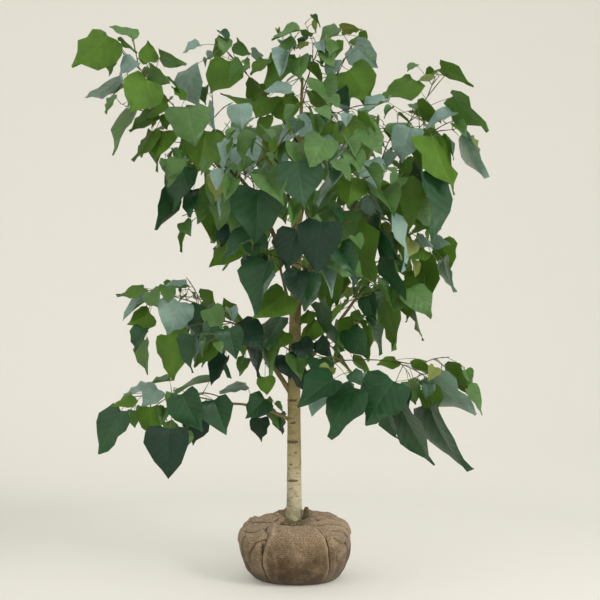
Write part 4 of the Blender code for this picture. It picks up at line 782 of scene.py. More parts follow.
    def twig_shell(self, line: Line) -> Mesh:
        """The room that a twig needs.

        Args:
            line: of the twig.

        Returns:
            The shell.
        """
        mesh = bmesh.new()
        add_tube(mesh, line, self.shell_sides, self.room)
        return mesh

    # what grows
    def stem_line(self, spray: Spray, limbs: dict[str, Line]) -> Line:
        """The stem of a mass, from its place on its host to the tip.

        Args:
            spray: the mass.
            limbs: the lines of the trunk and boughs.

        Returns:
            The line.
        """
        foot, foot_heading = foot_on(limbs[spray.host], spray.at)
        radii = (self.twig_radius, self.twig_tip_radius)
        return bent_line(foot, Vector(spray.tip), spray.bow, radii, self.stem_stations, foot_heading)

    def grow_twigs(self, spray: Spray, stem: Line, rng: random.Random, thicket: Thicket) -> list[Line]:
        """A mass's side twigs; one that would leave the space or touch anything is skipped.

        Args:
            spray: the mass.
            stem: its stem.
            rng: the mass's own random draws.
            thicket: the room already taken.

        Returns:
            The side twigs that found room.
        """
        twigs = []
        radii = (self.twig_radius * self.side_twig, self.twig_tip_radius)
        for index in range(spray.twigs):
            place, heading = stem.place(
                self.side_twigs_from + self.side_twigs_along * (index + 0.5) / spray.twigs)
            side, rise = upright_frame(heading)
            for _ in range(self.tries):
                turn = math.pi * index + rng.uniform(-0.7, 0.7)
                out = heading * 0.9 + side * math.cos(turn) + rise * (math.sin(turn) * 0.6 + 0.25)
                out -= UP * (spray.droop * rng.uniform(0.0, 1.5))
                end = place + out.normalized() * (spray.reach * rng.uniform(0.75, 1.0))
                twig = bent_line(place, end, self.side_twig_bow, radii, self.side_twig_stations)
                is_inside = distance_to_chord(end, stem.points[0], stem.points[-1]) < spray.reach
                if is_inside and thicket.take(self.twig_shell(twig), spray.name):
                    twigs.append(twig)
                    break
        return twigs

    def propose_leaf(
            self, rng: random.Random, place: Vector, heading: Vector, turn: float, size: float,
            droop: float) -> Leaf:
        """A leaf at a place on a twig; its blade hangs from the petiole's end.

        Args:
            rng: the mass's own random draws.
            place: where the petiole roots.
            heading: the twig's direction there.
            turn: the petiole's turn round the twig.
            size: beside a usual leaf's.
            droop: pull on the petiole, down.

        Returns:
            The leaf, which hasn't been tested for room.
        """
        side, rise = upright_frame(heading)
        out = side * math.cos(turn) + rise * math.sin(turn)
        sag = UP * (self.leaf_sag + droop * rng.uniform(0.0, 1.5))
        reach = (out + heading * self.leaf_ahead - sag).normalized()
        petiole = self.petiole_length * size * rng.uniform(*self.petiole_spread)
        base = place + reach * petiole
        level = Vector((out.x + heading.x * 0.5, out.y + heading.y * 0.5, 0.0))
        lit = self.light * (self.turn_to_light * rng.uniform(*self.light_spread))
        level = (level.normalized() * (1.0 - self.turn_to_light) + lit).normalized()
        hang = math.radians(rng.uniform(
            self.hang[0] + self.hang_droop[0] * droop, self.hang[1] + self.hang_droop[1] * droop))
        along = level * math.cos(hang) - UP * math.sin(hang)
        face = level * math.sin(hang) + UP * math.cos(hang)
        spin = Matrix.Rotation(math.radians(rng.uniform(-self.blade_spin, self.blade_spin)), 3, face)
        roll = Matrix.Rotation(math.radians(rng.uniform(-self.blade_roll, self.blade_roll)), 3, along)
        along = spin @ along
        face = roll @ face
        across = along.cross(face).normalized()
        face = across.cross(along).normalized()
        length = self.leaf_length * size * rng.uniform(1.0 - self.leaf_spread, 1.0 + self.leaf_spread)
        fold = math.radians(rng.choice(self.folds))
        return Leaf(place, base, along, across, face, length, fold, rng.uniform(*self.curls))

    def grow_leaves(
            self, spray: Spray, lines: list[Line], rng: random.Random, thicket: Thicket) -> list[Leaf]:
        """Leaves along a mass's twigs; one that would leave the space or touch anything is skipped.

        Args:
            spray: the mass.
            lines: its stem and side twigs.
            rng: the mass's own random draws.
            thicket: the room already taken.

        Returns:
            The leaves that found room, at most spray.fill.
        """
        foot = lines[0].points[0]
        tip = lines[0].points[-1]
        leaves = []
        for line in lines:
            bare = self.bare[0] if line is lines[0] else self.bare[1]
            count = max(1, round(line.length * (1.0 - bare) / self.internode))
            for index in range(count + 1):
                share = bare + (self.last_leaf - bare) * index / count
                place, heading = line.place(share)
                size = spray.leaf_size * (1.0 - self.tip_loss * share ** 3)
                turn = self.divergence * index + rng.uniform(-0.5, 0.5)
                for attempt in range(self.tries):
                    turned = turn + attempt * self.next_turn
                    leaf = self.propose_leaf(rng, place, heading, turned, size, spray.droop)
                    is_inside = self.farthest(leaf, foot, tip) < spray.reach + self.leaf_length / 2
                    is_wanted = len(leaves) < spray.fill and is_inside
                    if is_wanted and hangs_free(leaf) and thicket.take(self.leaf_shell(leaf)):
                        leaves.append(leaf)
                        break
        return leaves

    # the marked leaves
    def marked_leaf(self, mark: Mark, depth: float) -> Leaf:
        """The blade of a marked leaf, turned about its midrib until it looks as wide as marked.

        Args:
            mark: the leaf on the front elevation.
            depth: of its base, behind the trunk.

        Returns:
            The leaf, its petiole still without a root.
        """
        base = FRONTAGE.place(mark.base_column, mark.base_row, depth)
        tip = FRONTAGE.place(mark.tip_column, mark.tip_row, depth - self.tip_dip)
        length = (tip - base).length
        along = (tip - base).normalized()
        view = (base - FRONTAGE.eye).normalized()
        across = along.cross(view).normalized()
        width = mark.width * FRONTAGE.step_at(depth)
        share = width / (2.0 * self.widest * length * math.cos(self.mark_fold))
        turn = mark.side * math.acos(max(self.narrowest, min(1.0, share)))
        across = Matrix.Rotation(turn, 3, along) @ across
        face = across.cross(along).normalized()
        if (face.dot(view) > 0.0) != (mark.tone in UNDERSIDES):
            face = -face
            across = -across
        return Leaf(base, base, along, across, face, length, self.mark_fold, self.mark_curl, mark.tone)

    def reserve_marks(self, thicket: Thicket) -> list[tuple[int, Leaf]]:
        """The marked blades, each moved nearer or further until it is clear of what is there.

        Args:
            thicket: the room already taken; it gains the blades.

        Returns:
            The blades that found room, with the numbers of their marks.
        """
        blades = []
        for index, mark in enumerate(MARKS):
            for shift in self.depth_shifts:
                blade = self.marked_leaf(mark, mark.depth + shift)
                if thicket.take(self.blade_shell(blade), index):
                    blades.append((index, blade))
                    break
        return blades

    def hang_marks(
            self, blades: list[tuple[int, Leaf]], crown: dict[str, list[Line]],
            thicket: Thicket) -> dict[str, list[Leaf]]:
        """Join each marked blade by its petiole to the nearest twig with a free way to it.

        Args:
            blades: the marked blades with their numbers.
            crown: the stem and side twigs of each mass.
            thicket: the room already taken.

        Returns:
            The marked leaves of each mass.
        """
        places = []
        for name, lines in crown.items():
            for line in lines:
                bare = self.mark_bare[0] if line is lines[0] else self.mark_bare[1]
                for index in range(self.mark_places + 1):
                    share = bare + (self.last_leaf - bare) * index / self.mark_places
                    places.append((name, line.place(share)[0]))
        leaves: dict[str, list[Leaf]] = {name: [] for name in crown}
        for index, blade in blades:
            near = [(name, root) for name, root in places
                    if self.shortest_petiole < (root - blade.base).length < self.longest_petiole]
            for name, root in sorted(near, key=lambda item: (item[1] - blade.base).length):
                leaf = replace(blade, root=root)
                if hangs_free(leaf) and thicket.take(self.petiole_shell(leaf), index):
                    leaves[name].append(leaf)
                    break
        return leaves

    def start_thicket(self, limbs: dict[str, Line], stems: dict[str, Line]) -> Thicket:
        """The room taken by the limbs and by every mass's stem, before anything else grows.

        Args:
            limbs: the lines of the trunk and boughs.
            stems: the stem of each mass.

        Returns:
            The thicket.
        """
        thicket = Thicket()
        for name, line in limbs.items():
            shell = bmesh.new()
            add_tube(shell, line, self.limb_sides, self.room)
            thicket.add(shell, name)
        for name, stem in stems.items():
            thicket.add(self.twig_shell(stem), name)
        return thicket


@dataclass
class Mass:
    """One grown mass of foliage: its wood and its leaves."""
    spray: Spray
    lines: list[Line]
    leaves: list[Leaf]
    shoots: list[Line] = field(default_factory=list)

    @property
    def chord(self) -> tuple[Vector, Vector]:
        """The two ends of its stem."""
        return self.lines[0].points[0], self.lines[0].points[-1]


@dataclass(frozen=True)
class FineShoots:
    """The finer shoots that each mass carries on to, with their young leaves."""
    per_line: int = 2
    places: tuple = (0.30, 1.0)  # the stretch of a twig that bears them
    length: tuple = (0.035, 0.085)
    bow: float = 0.002
    radii: tuple = (0.0014, 0.0009)
    stations: int = 2
    leaf_size: tuple = (0.34, 0.62)  # beside a usual leaf's
    leaf_places: tuple = (0.75, 1.0)  # along a shoot
    stay_within: float = 0.80  # share of the mass's reach
    tones: tuple[Tone, ...] = (YOUNG, BRIGHT, BRIGHT, MID, MID, MID, DARK, SHEEN)

    def grow(self, mass: Mass, growth: Growth, thicket: Thicket) -> None:
        """Add shoots and small leaves to a mass wherever there is room.

        Args:
            mass: takes the shoots and their leaves.
            growth: the rule for the leaves.
            thicket: the room already taken.
        """
        spray = mass.spray
        rng = random.Random(f"{spray.name} shoots")
        for line in mass.lines:
            for index in range(self.per_line):
                start, end = self.places
                share = start + (end - start) * (index + rng.uniform(0.4, 1.0)) / self.per_line
                shoot = self.propose(*line.place(share), spray.droop, rng)
                far = distance_to_chord(shoot.points[-1], *mass.chord)
                is_inside = far <= spray.reach * self.stay_within
                if is_inside and thicket.take(growth.twig_shell(shoot), spray.name):
                    mass.shoots.append(shoot)
                    for count, place in enumerate(self.leaf_places):
                        turn = growth.divergence * count
                        self.grow_leaf(mass, shoot.place(place), turn, growth, rng, thicket)

    def propose(self, place: Vector, heading: Vector, droop: float, rng: random.Random) -> Line:
        """A shoot at a place on a twig, turned at random; it hasn't been tested for room.

        Args:
            place, heading: on the twig, and its direction there.
            droop: pull on the shoot, down.
            rng: the shoots' own random draws.

        Returns:
            The shoot.
        """
        side, rise = upright_frame(heading)
        turn = rng.uniform(0.0, math.tau)
        out = heading * rng.uniform(0.8, 1.4) + side * math.cos(turn) + rise * (math.sin(turn) + 0.4)
        out -= UP * droop * 0.6
        end = place + out.normalized() * rng.uniform(*self.length)
        return bent_line(place, end, self.bow, self.radii, self.stations)

    def grow_leaf(
            self, mass: Mass, spot: tuple[Vector, Vector], turn: float, growth: Growth,
            rng: random.Random, thicket: Thicket) -> None:
        """Add one young leaf to a shoot if one of a few turns finds room.

        Args:
            mass: takes the leaf.
            spot: the place on the shoot, and the shoot's direction there.
            turn: the petiole's first turn round the shoot.
            growth: the rule for the leaves.
            rng: the shoots' own random draws.
            thicket: the room already taken.
        """
        spray = mass.spray
        size = spray.leaf_size * rng.uniform(*self.leaf_size)
        for attempt in range(growth.tries):
            turned = turn + attempt * growth.next_turn + rng.uniform(-0.5, 0.5)
            leaf = growth.propose_leaf(rng, *spot, turned, size, spray.droop)
            is_inside = growth.farthest(leaf, *mass.chord) < spray.reach
            if is_inside and hangs_free(leaf) and thicket.take(growth.leaf_shell(leaf)):
                mass.leaves.append(replace(leaf, tone=rng.choice(self.tones)))
                return


@dataclass(frozen=True)
class ToneDeal:
    """How the tones of seeded leaves are dealt out, mass by mass, by how much light a mass takes: painted
    light and shade, lighter tones for lit masses and darker ones for shaded masses.
    """
    lit: tuple = ((MID, 5), (SHEEN, 3), (BRIGHT, 5))
    usual: tuple = ((DEEP, 1), (DARK, 3), (MID, 4), (SHEEN, 3), (BRIGHT, 3))
    shaded: tuple = ((DEEP, 4), (DARK, 4), (MID, 3), (SHEEN, 1), (BRIGHT, 1))
    lit_above: float = 1.32
    shaded_below: float = 0.95
    lean: float = 0.35  # metres of height that a metre to the right is worth

    def deal(self, mass: Mass) -> None:
        """Give each seeded leaf of a mass its tone.

        Args:
            mass: whose leaves are changed.
        """
        rng = random.Random(f"{mass.spray.name} tones")
        light = mass.spray.tip[2] + self.lean * mass.spray.tip[0]
        counts = self.lit if light > self.lit_above else self.usual
        if light < self.shaded_below and mass.spray.tip[0] < 0.0:
            counts = self.shaded
        pack = [tone for tone, count in counts for _ in range(count)]
        mass.leaves = [replace(leaf, tone=rng.choice(pack)) for leaf in mass.leaves]


@dataclass
class Crown:
    """All masses of foliage, grown in order round the limbs."""
    growth: Growth = field(default_factory=Growth)
    shoots: FineShoots = field(default_factory=FineShoots)
    tones: ToneDeal = field(default_factory=ToneDeal)

    def grow(self, limbs: dict[str, Line]) -> list[Mass]:
        """Grow every mass: stems first, then marked blades, twigs, petioles, leaves, fine shoots.

        Args:
            limbs: the lines of the trunk and boughs.

        Returns:
            The masses, in the order of their table.
        """
        growth = self.growth
        stems = {spray.name: growth.stem_line(spray, limbs) for spray in SPRAYS}
        thicket = growth.start_thicket(limbs, stems)
        blades = growth.reserve_marks(thicket)
        rngs = {spray.name: random.Random(f"{spray.name} {growth.seed}") for spray in SPRAYS}
        lines = {}
        for spray in SPRAYS:
            stem = stems[spray.name]
            lines[spray.name] = [stem] + growth.grow_twigs(spray, stem, rngs[spray.name], thicket)
        marked = growth.hang_marks(blades, lines, thicket)
        masses = []
        for spray in SPRAYS:
            name = spray.name
            mass = Mass(spray, lines[name], growth.grow_leaves(spray, lines[name], rngs[name], thicket))
            self.tones.deal(mass)
            mass.leaves = marked[name] + mass.leaves
            masses.append(mass)
        for mass in masses:
            self.shoots.grow(mass, growth, thicket)
        return masses


# ---- shader tools
def joined(operation: str, is_last: bool = False) -> Callable[..., "Wire"]:
    """Make a method that joins a wire with other values in a Math node.

    Args:
        operation: of the node.
        is_last: whether the wire itself comes last.

    Returns:
        The method.
    """
    def method(wire: "Wire", *others: "Wire | float", clamp: bool = False) -> "Wire":
        """Join the values.

        Args:
            wire: whose method it is.
            others: the other values, if any.
            clamp: whether the result is kept between 0 and 1.

        Returns:
            The result.
        """
        values = (*others, wire) if is_last else (wire, *others)
        node = wire.shader.node(
            "ShaderNodeMath", {"operation": operation, "use_clamp": clamp}, dict(enumerate(values)))
        return Wire(wire.shader, node.outputs[0])
    return method


class Wire:
    """A number inside a shader, on which sums are written as Python expressions."""

    def __init__(self, shader: "Shader", socket: Socket) -> None:
        """Wrap a socket of a shader."""
        self.shader = shader
        self.socket = socket

    plus = __add__ = __radd__ = joined("ADD")
    __sub__ = joined("SUBTRACT")
    __rsub__ = joined("SUBTRACT", is_last=True)
    __mul__ = __rmul__ = joined("MULTIPLY")
    __pow__ = joined("POWER")
    __abs__ = joined("ABSOLUTE")
    sine = joined("SINE")
    fraction = joined("FRACT")

    def between(self, low: float, high: float) -> "Wire":
        """Rise from 0 at low to 1 at high, and stay there."""
        return ((self - low) * (1.0 / (high - low))).plus(0.0, clamp=True)


class Shader:
    """The node tree of one material, with a Principled shader at its end."""

    def __init__(self, name: str, colour: Colour, roughness: float) -> None:
        """Start a material.

        Args:
            name: of the material.
            colour: linear base colour.
            roughness: of its gloss.
        """
        self.material = bpy.data.materials.new(name)
        self.material.use_nodes = True
        self.tree = self.material.node_tree
        self.principled = self.tree.nodes["Principled BSDF"]
        self.output = self.tree.nodes["Material Output"]
        self.set(base_color=(*colour, 1.0), roughness=roughness, metallic=0.0)
        self.material.diffuse_color = (*colour, 1.0)

    def set(self, **values: object) -> None:
        """Set plain values or links on the Principled shader, named like its sockets."""
        for name, value in values.items():
            title = " ".join(word if word == "IOR" else word.capitalize() for word in name.split("_"))
            self._put(self.principled.inputs[title], value)

    def _put(self, socket: Socket, value: object) -> None:
        """Give a socket a link or a plain value.

        Args:
            socket: an input of a node.
            value: a wire, an output, or a plain value.
        """
        if isinstance(value, Wire):
            value = value.socket
        if isinstance(value, Socket):
            self.tree.links.new(value, socket)
        elif socket.type == "RGBA" and len(value) == 3:
            socket.default_value = (*value, 1.0)
        else:
            socket.default_value = value

    def node(
            self, kind: str, settings: dict[str, object] | None = None,
            inputs: dict[str | int, object] | None = None) -> bpy.types.Node:
        """Add a node.

        Args:
            kind: its Blender type.
            settings: its own properties, and "stops" for a colour ramp.
            inputs: values or links for its sockets, by name or number.

        Returns:
            The node.
        """
        node = self.tree.nodes.new(kind)
        for name, value in (settings or {}).items():
            if name == "stops":
                self._set_stops(node.color_ramp, value)
            else:
                setattr(node, name, value)
        for key, value in (inputs or {}).items():
            self._put(node.inputs[key], value)
        return node

    @staticmethod
    def _set_stops(ramp: bpy.types.ColorRamp, stops: tuple) -> None:
        """Set a ramp's (place, colour) stops.

        Args:
            ramp: of a colour ramp node.
            stops: in rising order.
        """
        while len(ramp.elements) < len(stops):
            ramp.elements.new(1.0)
        for element, (place, colour) in zip(ramp.elements, stops):
            element.position = place
            element.color = (*colour, 1.0)

    def place(self, scale: tuple[float, float, float] = (1.0, 1.0, 1.0)) -> Socket:
        """Object coordinates, stretched."""
        coordinates = self.node("ShaderNodeTexCoord").outputs["Object"]
        return self.node("ShaderNodeMapping", None, {"Vector": coordinates, "Scale": scale}).outputs[0]

    def axis(self, letter: str, source: str = "Object") -> Wire:
        """One coordinate of the Object or UV coordinates.

        Args:
            letter: X, Y or Z.
            source: Object or UV.

        Returns:
            The coordinate.
        """
        coordinates = self.node("ShaderNodeTexCoord").outputs[source]
        split = self.node("ShaderNodeSeparateXYZ", None, {0: coordinates})
        return Wire(self, split.outputs[letter])

    def noise(
            self, scale: float, detail: float = 2.0, stretch: tuple[float, float, float] = (1.0, 1.0, 1.0),
            roughness: float = 0.5) -> Wire:
        """Noise over the Object coordinates, from 0 to 1.

        Args:
            scale: of its largest forms.
            detail: how many finer layers it has.
            stretch: of the coordinates.
            roughness: weight of the finer layers.

        Returns:
            The noise.
        """
        node = self.node("ShaderNodeTexNoise", None, {
            "Vector": self.place(stretch), "Scale": scale, "Detail": detail, "Roughness": roughness})
        return Wire(self, node.outputs["Fac"])

    def mix(self, share: Wire | float, first: object, second: object) -> Socket:
        """Blend two colours."""
        node = self.node("ShaderNodeMix", {"data_type": "RGBA"}, {0: share, 6: first, 7: second})
        return node.outputs[2]

    def ramp(self, value: Wire, stops: tuple) -> Socket:
        """Colours along a value."""
        return self.node("ShaderNodeValToRGB", {"stops": stops}, {0: value}).outputs[0]

    def hollow(self) -> Wire:
        """How deep the place lies in a hollow, in millimetres; below 0 on a ridge."""
        node = self.node("ShaderNodeAttribute", {"attribute_name": "hollow"})
        return Wire(self, node.outputs["Fac"])

    def bump(self, height: Wire, distance: float, strength: float = 1.0) -> None:
        """Raise the surface.

        Args:
            height: from 0 to 1.
            distance: metres that a height of 1 stands for.
            strength: share of the effect.
        """
        node = self.node("ShaderNodeBump", None, {
            "Height": height, "Distance": distance, "Strength": strength})
        self.set(normal=node.outputs["Normal"])

    def glow_through(self, share: float, colour: Colour) -> None:
        """Let a share of the light through, tinted.

        Args:
            share: of the light.
            colour: of what comes through.
        """
        through = self.node("ShaderNodeBsdfTranslucent", None, {"Color": colour})
        mixed = self.node("ShaderNodeMixShader", None, {
            0: share, 1: self.principled.outputs[0], 2: through.outputs[0]})
        self.tree.links.new(mixed.outputs[0], self.output.inputs["Surface"])


# ---- finishes
def shades(*stops: tuple[float, int, int, int]) -> tuple:
    """Places with their linear colours, from places with colours from 0 to 255."""
    return tuple((place, srgb(*colour)) for place, *colour in stops)


@dataclass(frozen=True)
class LeafFinish:
    """One side of a leaf: its colour, veins, gloss and the light that comes through."""
    name: str
    colour: Colour
    vein: Colour
    roughness: float
    coat: float
    glow: float  # share of the light that passes through
    vein_share: float = 0.30  # how far the veins show
    vein_spacing: float = 5.2  # side veins along one leaf's length
    vein_rise: float = 0.75  # how steeply they run to the tip

    def make(self) -> Material:
        """Make the material, which reads the place on the leaf from its UV map.

        Returns:
            The material.
        """
        shader = Shader(self.name, self.colour, self.roughness)
        across = abs(shader.axis("X", "UV") - 0.5) * BladeShape.UV_WIDTH
        down = shader.axis("Y", "UV") * BladeShape.UV_LENGTH - BladeShape.UV_START
        midrib = 1.0 - across.between(0.004, 0.016)
        ribs = (down - across ** 0.85 * self.vein_rise) * self.vein_spacing
        ribs = ribs + (shader.noise(16.0, 1.0) - 0.5) * 0.45
        off_rib = abs(ribs.fraction() - 0.5)
        side_veins = off_rib.between(0.40, 0.49) * (1.0 - across.between(0.30, 0.48))
        valleys = off_rib.between(0.05, 0.45)
        veins = (midrib + side_veins * 0.55).between(0.0, 1.0)
        mottle = shader.noise(38.0, 3.0)
        patch = shader.noise(7.0, 1.0)
        dim = tuple(channel * 0.72 for channel in self.colour)
        lit = tuple(min(1.0, channel * 1.28) for channel in self.colour)
        ground = shader.mix((mottle * 0.4 + patch * 0.6).between(0.32, 0.68), dim, lit)
        shader.set(
            base_color=shader.mix(veins * self.vein_share, ground, self.vein),
            coat_weight=self.coat, coat_roughness=0.24, specular_IOR_level=0.35)
        relief = valleys * -0.50 - veins * 0.25 + mottle * 0.55
        shader.bump(relief, 0.0018, 0.75)
        shader.glow_through(self.glow, self.vein)
        return shader.material


LEAF_FINISHES = (  # in the order of Tone
    # leaf_sheen is a painted sheen of the sky, leaf_deep and leaf_dark are partly painted shade, leaf_bright
    # is partly painted light shining through the blade
    LeafFinish("leaf_deep", srgb(20, 54, 36), srgb(54, 96, 66), 0.46, 0.10, 0.08, 0.28),
    LeafFinish("leaf_dark", srgb(38, 80, 46), srgb(82, 128, 82), 0.42, 0.16, 0.16),
    LeafFinish("leaf_mid", srgb(93, 133, 69), srgb(136, 168, 104), 0.42, 0.22, 0.30),
    LeafFinish("leaf_sheen", srgb(130, 159, 147), srgb(174, 194, 182), 0.34, 0.34, 0.14),
    LeafFinish("leaf_bright", srgb(104, 145, 50), srgb(146, 180, 82), 0.55, 0.03, 0.46),
    LeafFinish("leaf_young", srgb(136, 152, 76), srgb(168, 174, 108), 0.48, 0.10, 0.32),
)


@dataclass(frozen=True)
class BarkFinish:
    """Smooth young bark that darkens with height, with fine cross marks, a mossy foot, and painted shade in
    its hollows.
    """
    name: str
    stops: tuple  # colour by height
    top: float  # height at which the last colour is reached
    mark: Colour
    moss: Colour
    moss_height: tuple[float, float] = (0.222, 0.262)
    mark_scale: float = 150.0
    roughness: float = 0.78

    def make(self) -> Material:
        """Make the material.

        Returns:
            The material.
        """
        shader = Shader(self.name, self.stops[0][1], self.roughness)
        height = shader.axis("Z")
        ground = shader.ramp(
            (height * (1.0 / self.top) + (shader.noise(9.0, 3.0) - 0.5) * 0.10).between(0.0, 1.0), self.stops)
        blotch = shader.noise(26.0, 4.0, (1.0, 1.0, 0.8), 0.6).between(0.52, 0.70)
        ground = shader.mix(blotch * 0.45, ground, self.mark)
        band = shader.noise(30.0, 3.0, (0.25, 0.25, 1.0)).between(0.54, 0.72)
        ground = shader.mix(band * 0.30, ground, self.mark)
        dashes = shader.noise(self.mark_scale, 2.0, (0.20, 0.20, 1.6)).between(0.58, 0.70)
        ground = shader.mix(dashes * 0.55, ground, self.mark)
        specks = shader.noise(300.0, 1.0).between(0.66, 0.74)
        ground = shader.mix(specks * 0.70, ground, self.mark)
        mossy = (1.0 - height.between(*self.moss_height)) * shader.noise(55.0, 3.0).between(0.35, 0.55)
        ground = shader.mix(mossy * 0.85, ground, self.moss)
        # painted shade in the skin's hollows; the trunk's scars, noted in the same layer, are the bark's own
        # dark marks
        hollow_shade_and_scars = shader.hollow().between(0.03, 0.35)
        shader.set(base_color=shader.mix(hollow_shade_and_scars * 0.85, ground, self.mark), specular_IOR_level=0.3)
        fine = shader.noise(self.mark_scale * 2.0, 2.0, (0.5, 0.5, 1.0))
        shader.bump(dashes * 0.6 + fine * 0.4, 0.0012, 0.6)
        return shader.material


TRUNK_BARK = BarkFinish(
    "trunk_bark",
    # colour by height: the bark's own darkening upward, partly painted shade of the crown on the upper trunk
    shades((0.0, 203, 196, 170), (0.20, 195, 186, 153), (0.27, 172, 160, 117), (0.34, 156, 143, 99),
           (0.50, 157, 146, 98), (0.72, 149, 142, 88), (1.0, 120, 115, 73)),
    1.8, srgb(82, 67, 43), srgb(136, 134, 100))
BOUGH_BARK = BarkFinish(
    "bough_bark", shades((0.0, 150, 140, 100), (0.45, 128, 118, 78), (0.75, 86, 76, 48), (1.0, 66, 56, 38)),
    1.8, srgb(60, 50, 34), srgb(96, 96, 60), (0.0, 0.1), 220.0)
STUB_BARK = BarkFinish(
    "stub_bark", shades((0.0, 78, 66, 46), (1.0, 124, 108, 78)), 0.60, srgb(38, 31, 22),
    srgb(84, 86, 56), (0.21, 0.25), 150.0, 0.95)


@dataclass(frozen=True)
class TwigFinish:
    """Green wood: thin twigs or petioles."""
    name: str
    colour: Colour
    other: Colour
    roughness: float = 0.6

    def make(self) -> Material:
        """Make the material.

        Returns:
            The material.
        """
        shader = Shader(self.name, self.colour, self.roughness)
        patch = shader.noise(14.0, 2.0).between(0.35, 0.65)
        shader.set(base_color=shader.mix(patch, self.colour, self.other), specular_IOR_level=0.35)
        shader.bump(shader.noise(400.0, 1.0), 0.0004, 0.5)
        return shader.material


TWIG_BARK = TwigFinish("twig_bark", srgb(74, 64, 40), srgb(98, 92, 54))
PETIOLE_SKIN = TwigFinish("petiole_skin", srgb(126, 132, 76), srgb(104, 92, 56), 0.5)


@dataclass(frozen=True)
class BurlapFinish:
    """Coarse sacking: crossed threads and stains; darker near the floor, partly soil worked in and partly
    painted shade; painted light on its top and ridges, and painted shade in its creases.
    """
    name: str = "burlap"
    pale: Colour = srgb(222, 195, 162)
    usual: Colour = srgb(150, 125, 94)
    dark: Colour = srgb(94, 77, 54)
    soiled_and_shaded: Colour = srgb(56, 43, 28)
    shade: Colour = srgb(50, 38, 26)
    threads_round: int = 340
    threads_down: int = 100
    slant: int = 40  # threads by which the weave runs askew down the cloth

    def make(self) -> Material:
        """Make the material, which reads the cloth's UV map.

        Returns:
            The material.
        """
        shader = Shader(self.name, self.usual, 0.95)
        round_ball = shader.axis("X", "UV")
        down = shader.axis("Y", "UV")
        warp = ((round_ball * self.threads_round + down * self.slant) * math.tau * 0.5).sine()
        weft = (down * self.threads_down * math.tau * 0.5).sine()
        weave = abs(warp) * 0.5 + abs(weft) * 0.5
        over = (warp * weft).between(-0.4, 0.4)
        stain = shader.noise(11.0, 4.0, (1.0, 1.0, 1.3), 0.6)
        cloth = shader.ramp(stain, ((0.30, self.dark), (0.50, self.usual), (0.70, self.pale)))
        speckle = shader.noise(360.0, 1.0).between(0.40, 0.60)
        height = shader.axis("Z")
        # painted light: the cloth is made paler towards its top, standing in for the light from above
        painted_top_light = height.between(0.10, 0.205)
        cloth = shader.mix(painted_top_light * 0.85, cloth, self.pale)
        # darker towards the floor: partly soil worked into the cloth, partly painted shade
        soil = (1.0 - height.between(-0.02, 0.17)) * (shader.noise(16.0, 4.0) * 0.9 + 0.45)
        cloth = shader.mix(soil.between(0.02, 1.10), cloth, self.soiled_and_shaded)
        grain = shader.noise(200.0, 3.0, (1.0, 1.0, 1.0), 0.75).between(0.40, 0.60)
        cloth = shader.mix((1.0 - speckle) * 0.34 + (1.0 - grain) * 0.44, cloth, self.soiled_and_shaded)
        cloth = shader.mix((1.0 - weave) * 0.62, cloth, self.soiled_and_shaded)
        hollow = shader.hollow()
        # painted highlight on the ridges, then painted shade in the creases and hollows
        cloth = shader.mix((hollow * -1.0).between(0.6, 3.2) * 0.22, cloth, self.pale)
        cloth = shader.mix(hollow.between(0.30, 2.2) * 0.88, cloth, self.shade)
        shader.set(base_color=cloth, specular_IOR_level=0.15, sheen_weight=0.15)
        shader.bump(weave * 0.6 + over * 0.2 + speckle * 0.2 + grain * 0.35, 0.0020, 0.8)
        return shader.material


@dataclass(frozen=True)
class SoilFinish:
    """Crumbly soil with a skin of moss."""
    name: str = "soil"
    colour: Colour = srgb(92, 84, 56)
    crumb: Colour = srgb(166, 158, 118)

    def make(self) -> Material:
        """Make the material.

        Returns:
            The material.
        """
        shader = Shader(self.name, self.colour, 1.0)
        crumbs = shader.noise(160.0, 4.0)
        shader.set(base_color=shader.mix(crumbs.between(0.45, 0.75), self.colour, self.crumb))
        shader.bump(crumbs, 0.004, 1.0)
        return shader.material


# ---- mesh tools
def show(name: str, data: bpy.types.ID) -> bpy.types.Object:
    """Put an object into the scene.

    Args:
        name: of the object.
        data: its mesh, light or camera.

    Returns:
        The object.
    """
    thing = bpy.data.objects.new(name, data)
    bpy.context.scene.collection.objects.link(thing)
    return thing


class Bundle:
    """Many small meshes gathered into one piece."""

    def __init__(self, *smalls: Mesh) -> None:
        """Start with some small meshes, which are used up.

        Args:
            smalls: the meshes.
        """
        self.mesh = bmesh.new()
        for small in smalls:
            self.add(small)

    def add(self, small: Mesh) -> None:
        """Add a small mesh, which is used up.

        Args:
            small: the mesh.
        """
        data = bpy.data.meshes.new("scrap")
        small.to_mesh(data)
        small.free()
        self.mesh.from_mesh(data, face_normals=False, vertex_normals=False)
        bpy.data.meshes.remove(data)

    def piece(
            self, name: str, materials: list[Material], slot: str, replaced: list[str]) -> None:
        """Make the piece, which rides on the tree's one body.

        Args:
            name: of the piece.
            materials: in the order of the faces' numbers.
            slot: the record's material slot that it stands for; not used.
            replaced: the CAD nodes that it stands for.
        """
        data = bpy.data.meshes.new(name)
        self.mesh.to_mesh(data)
        self.mesh.free()
        for material in materials:
            data.materials.append(material)
        thing = show(name, data)
        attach(thing, "root")
        if replaced:
            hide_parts(*replaced)
        LOG.info("%s: %d faces, in place of %d nodes", name, len(data.polygons), len(replaced))


def outward(mesh: Mesh) -> Mesh:
    """Turn a closed mesh's faces outward and smooth them.

    Args:
        mesh: which is changed.

    Returns:
        The same mesh.
    """
    bmesh.ops.recalc_face_normals(mesh, faces=mesh.faces)
    for face in mesh.faces:
        face.smooth = True
    return mesh


